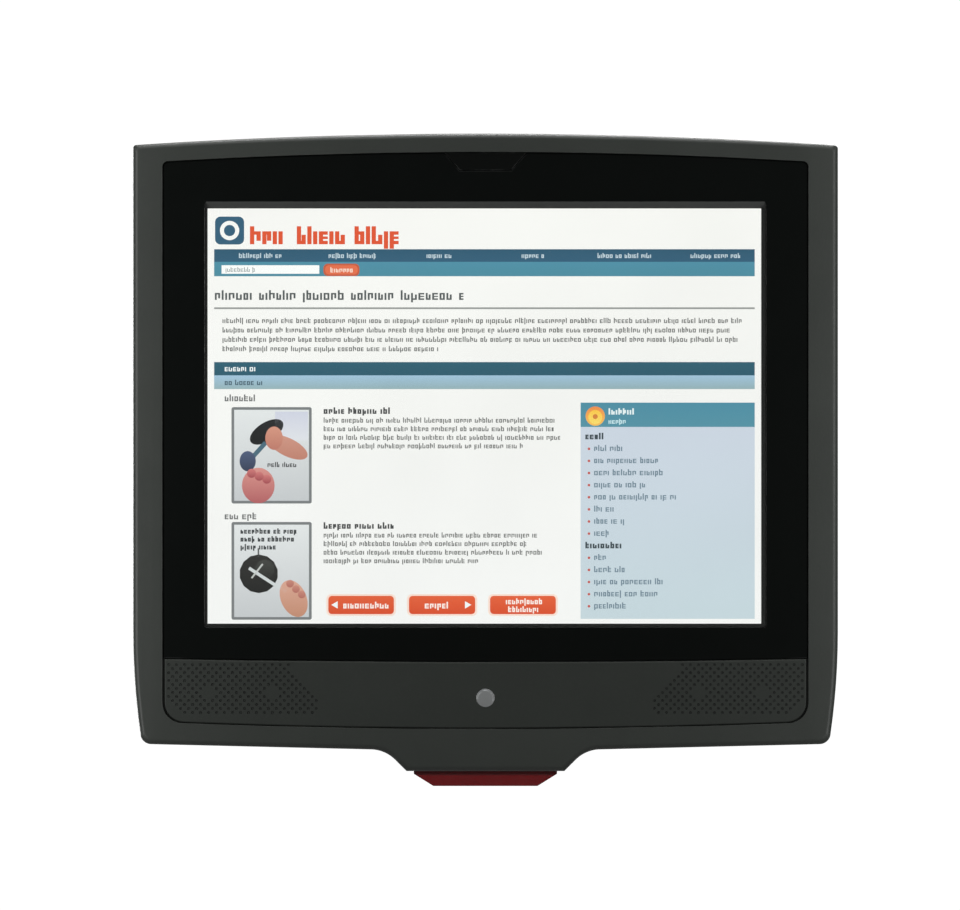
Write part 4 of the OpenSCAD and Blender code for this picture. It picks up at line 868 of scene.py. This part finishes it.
def drawHeader(mesh):
    left, right = 2.9, 242.9
    tile(mesh, 3.3, 3.6, 16.2, 16.0, page["navDark"], radius=2.4, level=1)
    disc(mesh, 9.75, 9.8, 4.3, page["paper"], level=2)
    disc(mesh, 9.75, 9.8, 2.5, page["navDark"], level=3)
    for start, end in ((18.8, 35.2), (39.6, 61.2), (65.2, 87.4)):
        wordLine(mesh, start, end, 15.9, 8.0, page["orange"], weight=0.24, wordGap=0,
                 gap=0.08, tallFirst=True)
    tile(mesh, left, 18.1, right, 23.7, (44, 88, 112), 1, page["navDark"])
    tile(mesh, left, 23.7, right, 30.1, page["navLight"], 1, (75, 139, 158))
    for across, width in ((23.9, 20), (64.2, 21), (102.7, 11), (144.4, 10), (185.1, 24), (225.4, 22)):
        wordLine(mesh, across - width / 2, across + width / 2, 22.0, 2.2, (196, 214, 222))
    tile(mesh, 6.2, 25.2, 49.6, 29.0, (250, 252, 250), 2)
    wordLine(mesh, 8.0, 21.5, 28.1, 2.0, (150, 160, 160), 3, weight=0.17)
    tile(mesh, 51.4, 24.5, 67.4, 30.0, (196, 92, 62), 2, radius=2.0)
    tile(mesh, 52.1, 25.2, 66.7, 29.3, (226, 110, 74), 3, radius=1.8)
    wordLine(mesh, 54.5, 65.5, 28.4, 2.3, (248, 222, 205), 4)
    wordLine(mesh, 3.2, 113.6, 40.6, 4.3, (84, 90, 90), wordGap=1.0)
    tile(mesh, left, 43.9, right, 44.7, page["rule"], 1)
    for row, end in enumerate((238.0, 232.6, 235.6, 102.6)):
        wordLine(mesh, 6.6, end, 50.9 + row * 4.16, 2.35, (112, 114, 112))
    tile(mesh, left, 68.2, right, 74.1, page["barDark"], 1, (43, 90, 108))
    wordLine(mesh, 7.6, 21.7, 72.3, 2.6, page["white"])
    tile(mesh, left, 74.1, right, 80.2, (160, 195, 218), 1, (148, 177, 182))
    wordLine(mesh, 7.6, 24.6, 78.4, 2.4, (66, 92, 106))


def drawStep(mesh, top, bottom, labelBase):
    # a framed picture of the job, beside its words
    wordLine(mesh, 7.6, 22.8, labelBase, 3.0, (104, 106, 106))
    tile(mesh, 10.6, top, 46.2, bottom, (122, 126, 127), 1, radius=0.9)
    tile(mesh, 11.8, top + 1.2, 45.0, bottom - 1.2, (226, 230, 230), 2, (196, 200, 202))


def drawSteps(mesh):
    drawStep(mesh, 88.2, 131.0, 85.6)
    tile(mesh, 30.0, 90.2, 44.6, 103.0, (206, 210, 224), 3, (222, 225, 230))
    disc(mesh, 35.6, 106.0, 9.6, page["skin"], 4, (190, 128, 110), squeeze=0.42, turn=math.radians(64))
    disc(mesh, 29.5, 102.0, 5.2, (212, 150, 128), 5, (188, 120, 104), squeeze=0.75)
    disc(mesh, 26.2, 99.2, 8.4, (34, 36, 38), 3, (26, 28, 30), squeeze=0.5, turn=math.radians(-58))
    tile(mesh, 17.6, 106.6, 27.4, 108.6, (74, 106, 122), 4, turn=math.radians(48))
    disc(mesh, 17.8, 112.2, 4.5, (78, 92, 122), 5, (52, 62, 84), squeeze=0.8)
    disc(mesh, 22.5, 123.0, 7.9, (214, 146, 138), 5, (176, 96, 98), squeeze=0.92)
    for finger in range(3):
        disc(mesh, 19.5 + finger * 3.4, 117.6 + finger * 1.3, 2.0, (206, 122, 120), 6, (160, 74, 80))
    wordLine(mesh, 26.6, 39.6, 114.8, 2.2, (44, 46, 48), 5)
    drawStep(mesh, 139.2, 182.6, 138.0)
    for row, end in enumerate((39.4, 39.8, 30.2)):
        wordLine(mesh, 14.6, end, 144.4 + row * 3.5, 2.4, page["darkInk"], 4, weight=0.26)
    tile(mesh, 22.2, 150.8, 22.9, 154.8, (96, 98, 98), 4)
    disc(mesh, 22.7, 162.2, 8.6, (46, 46, 44), 4, (30, 31, 30), sides=14)
    disc(mesh, 25.4, 160.2, 4.4, (66, 68, 64), 5, (40, 41, 40), sides=10)
    tile(mesh, 16.8, 164.3, 36.4, 165.7, (206, 212, 212), 6, turn=math.radians(-33))
    tile(mesh, 18.0, 160.6, 26.0, 161.4, (190, 194, 190), 6, turn=math.radians(52))
    disc(mesh, 38.2, 173.2, 8.6, (216, 166, 146), 6, (192, 138, 112), squeeze=0.66, turn=math.radians(24))
    for finger in range(3):
        disc(mesh, 36.6 + finger * 2.6, 166.6 + finger * 2.4, 1.7, (200, 138, 122), 7, (176, 108, 96))
    steps = ((91.2, (154.9, 153.6, 156.5, 140.1), 81.6), (142.2, (146.7, 142.2, 149.5, 120.1), 83.6))
    for top, ends, headEnd in steps:
        wordLine(mesh, 51.5, headEnd, top, 2.9, (70, 72, 72), weight=0.26)
        for row, end in enumerate(ends):
            wordLine(mesh, 51.5, end, top + 3.9 + row * 3.8, 2.3, (112, 114, 112))


def drawButtons(mesh):
    for number, (left, right) in enumerate(((53.6, 82.7), (89.4, 118.8), (125.4, 154.6))):
        tile(mesh, left - 0.9, 171.2, right + 0.9, 180.9, (247, 222, 208), 1, radius=2.2)
        tile(mesh, left, 172.0, right, 180.1, (226, 96, 56), 2, (214, 78, 42), radius=1.6)
        if number < 2:
            arrow = left + 3.2 if number == 0 else right - 3.6
            disc(mesh, arrow, 176.0, 1.9, page["white"], 3, sides=3, turn=math.radians(90 - 180 * number))
            wordLine(mesh, left + (6.6 if number == 0 else 7.0), right - (2.4 if number == 0 else 11.6),
                     177.6, 3.0, (250, 236, 228), 3, weight=0.22, wordGap=0)
        else:
            for row in (0, 1):
                wordLine(mesh, left + 7.0 + row, right - 6.0 - row, 175.7 + row * 3.5, 2.6,
                         (250, 236, 228), 3, weight=0.22, wordGap=0)


def drawSidebar(mesh):
    left, right = 165.6, 242.9
    tile(mesh, left, 86.2, right, 97.0, page["navLight"], 1, (84, 146, 164))
    tile(mesh, left, 97.0, right, 182.2, (204, 214, 226), 1, (196, 213, 219))
    disc(mesh, 172.1, 92.2, 4.3, (238, 140, 74), 2, (248, 196, 92))
    disc(mesh, 172.1, 92.6, 3.1, (252, 200, 70), 3, (250, 222, 110))
    disc(mesh, 172.1, 92.4, 1.1, (214, 132, 62), 4)
    wordLine(mesh, 178.0, 189.4, 91.5, 2.8, (232, 244, 244), 2, weight=0.26, wordGap=0)
    wordLine(mesh, 178.0, 186.6, 95.6, 2.2, (206, 236, 240), 2, wordGap=0)
    lists = ((102.5, 176.4, (184.8, 199.9, 202.0, 194.2, 208.3, 181.1, 185.6, 178.6)),
             (150.9, 184.2, (177.4, 185.2, 202.4, 200.3, 187.6)))
    for base, headEnd, ends in lists:
        wordLine(mesh, 167.7, headEnd, base, 2.9, (62, 74, 80), 2, weight=0.26, wordGap=0)
        for row, end in enumerate(ends):
            down = base + 5.2 + row * 5.38
            disc(mesh, 169.3, down - 1.0, 0.62, (196, 92, 84), 2, sides=8)
            wordLine(mesh, 171.6, end, down, 2.7, (112, 134, 148), 2)


def litPicture():
    mesh = bmesh.new()
    mesh.loops.layers.float_color.new("pictureColour")
    border = page["border"]
    tile(mesh, -border, -border, page["width"] + border, page["height"] + border, page["mask"], -1)
    tile(mesh, 0, 0, page["width"], page["height"], page["paper"], 0, (244, 245, 243))
    drawHeader(mesh)
    drawSteps(mesh)
    drawButtons(mesh)
    drawSidebar(mesh)
    return closePiece(mesh, "litPicture", "housing", glow, weighted=False)


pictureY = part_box("lcd_frame")[0].y - 0.03 * mm
litPicture()
print("picture laid out")

surroundShell()
bezelShell()
panelShell()
badgeShell()
softened = {
    "rear_housing": 0.6, "connector_cover": 0.5, "bezel_insert": 0.15, "power_button": 0.25,
    "reset_button": 0.25, "scan_window": 0.25, "hinge_pins": 0.2, "ethernet_jack": 0.2, "serial_jack": 0.2,
    "usb_jack": 0.15, "audio_jack": 0.2, "power_jack": 0.2, "heatsink": 0.15, "chassis_plate": 0.15,
}
for nodeName, softWidth in softened.items():
    softenEdges(nodeName, softWidth * mm)
print("shells shaped")

# pale floor, well below the piece
floorMesh = bmesh.new()
bmesh.ops.create_circle(floorMesh, cap_ends=True, segments=96, radius=studio["floorRadius"])
bmesh.ops.translate(floorMesh, verts=floorMesh.verts, vec=(0, 0, cadLow.z - studio["floorBelow"]))
floorData = bpy.data.meshes.new("floor")
floorMesh.to_mesh(floorData)
floorMesh.free()
floorData.materials.append(floorFinish("paleFloor"))
floorPiece = bpy.data.objects.new("floor", floorData)
scene.collection.objects.link(floorPiece)
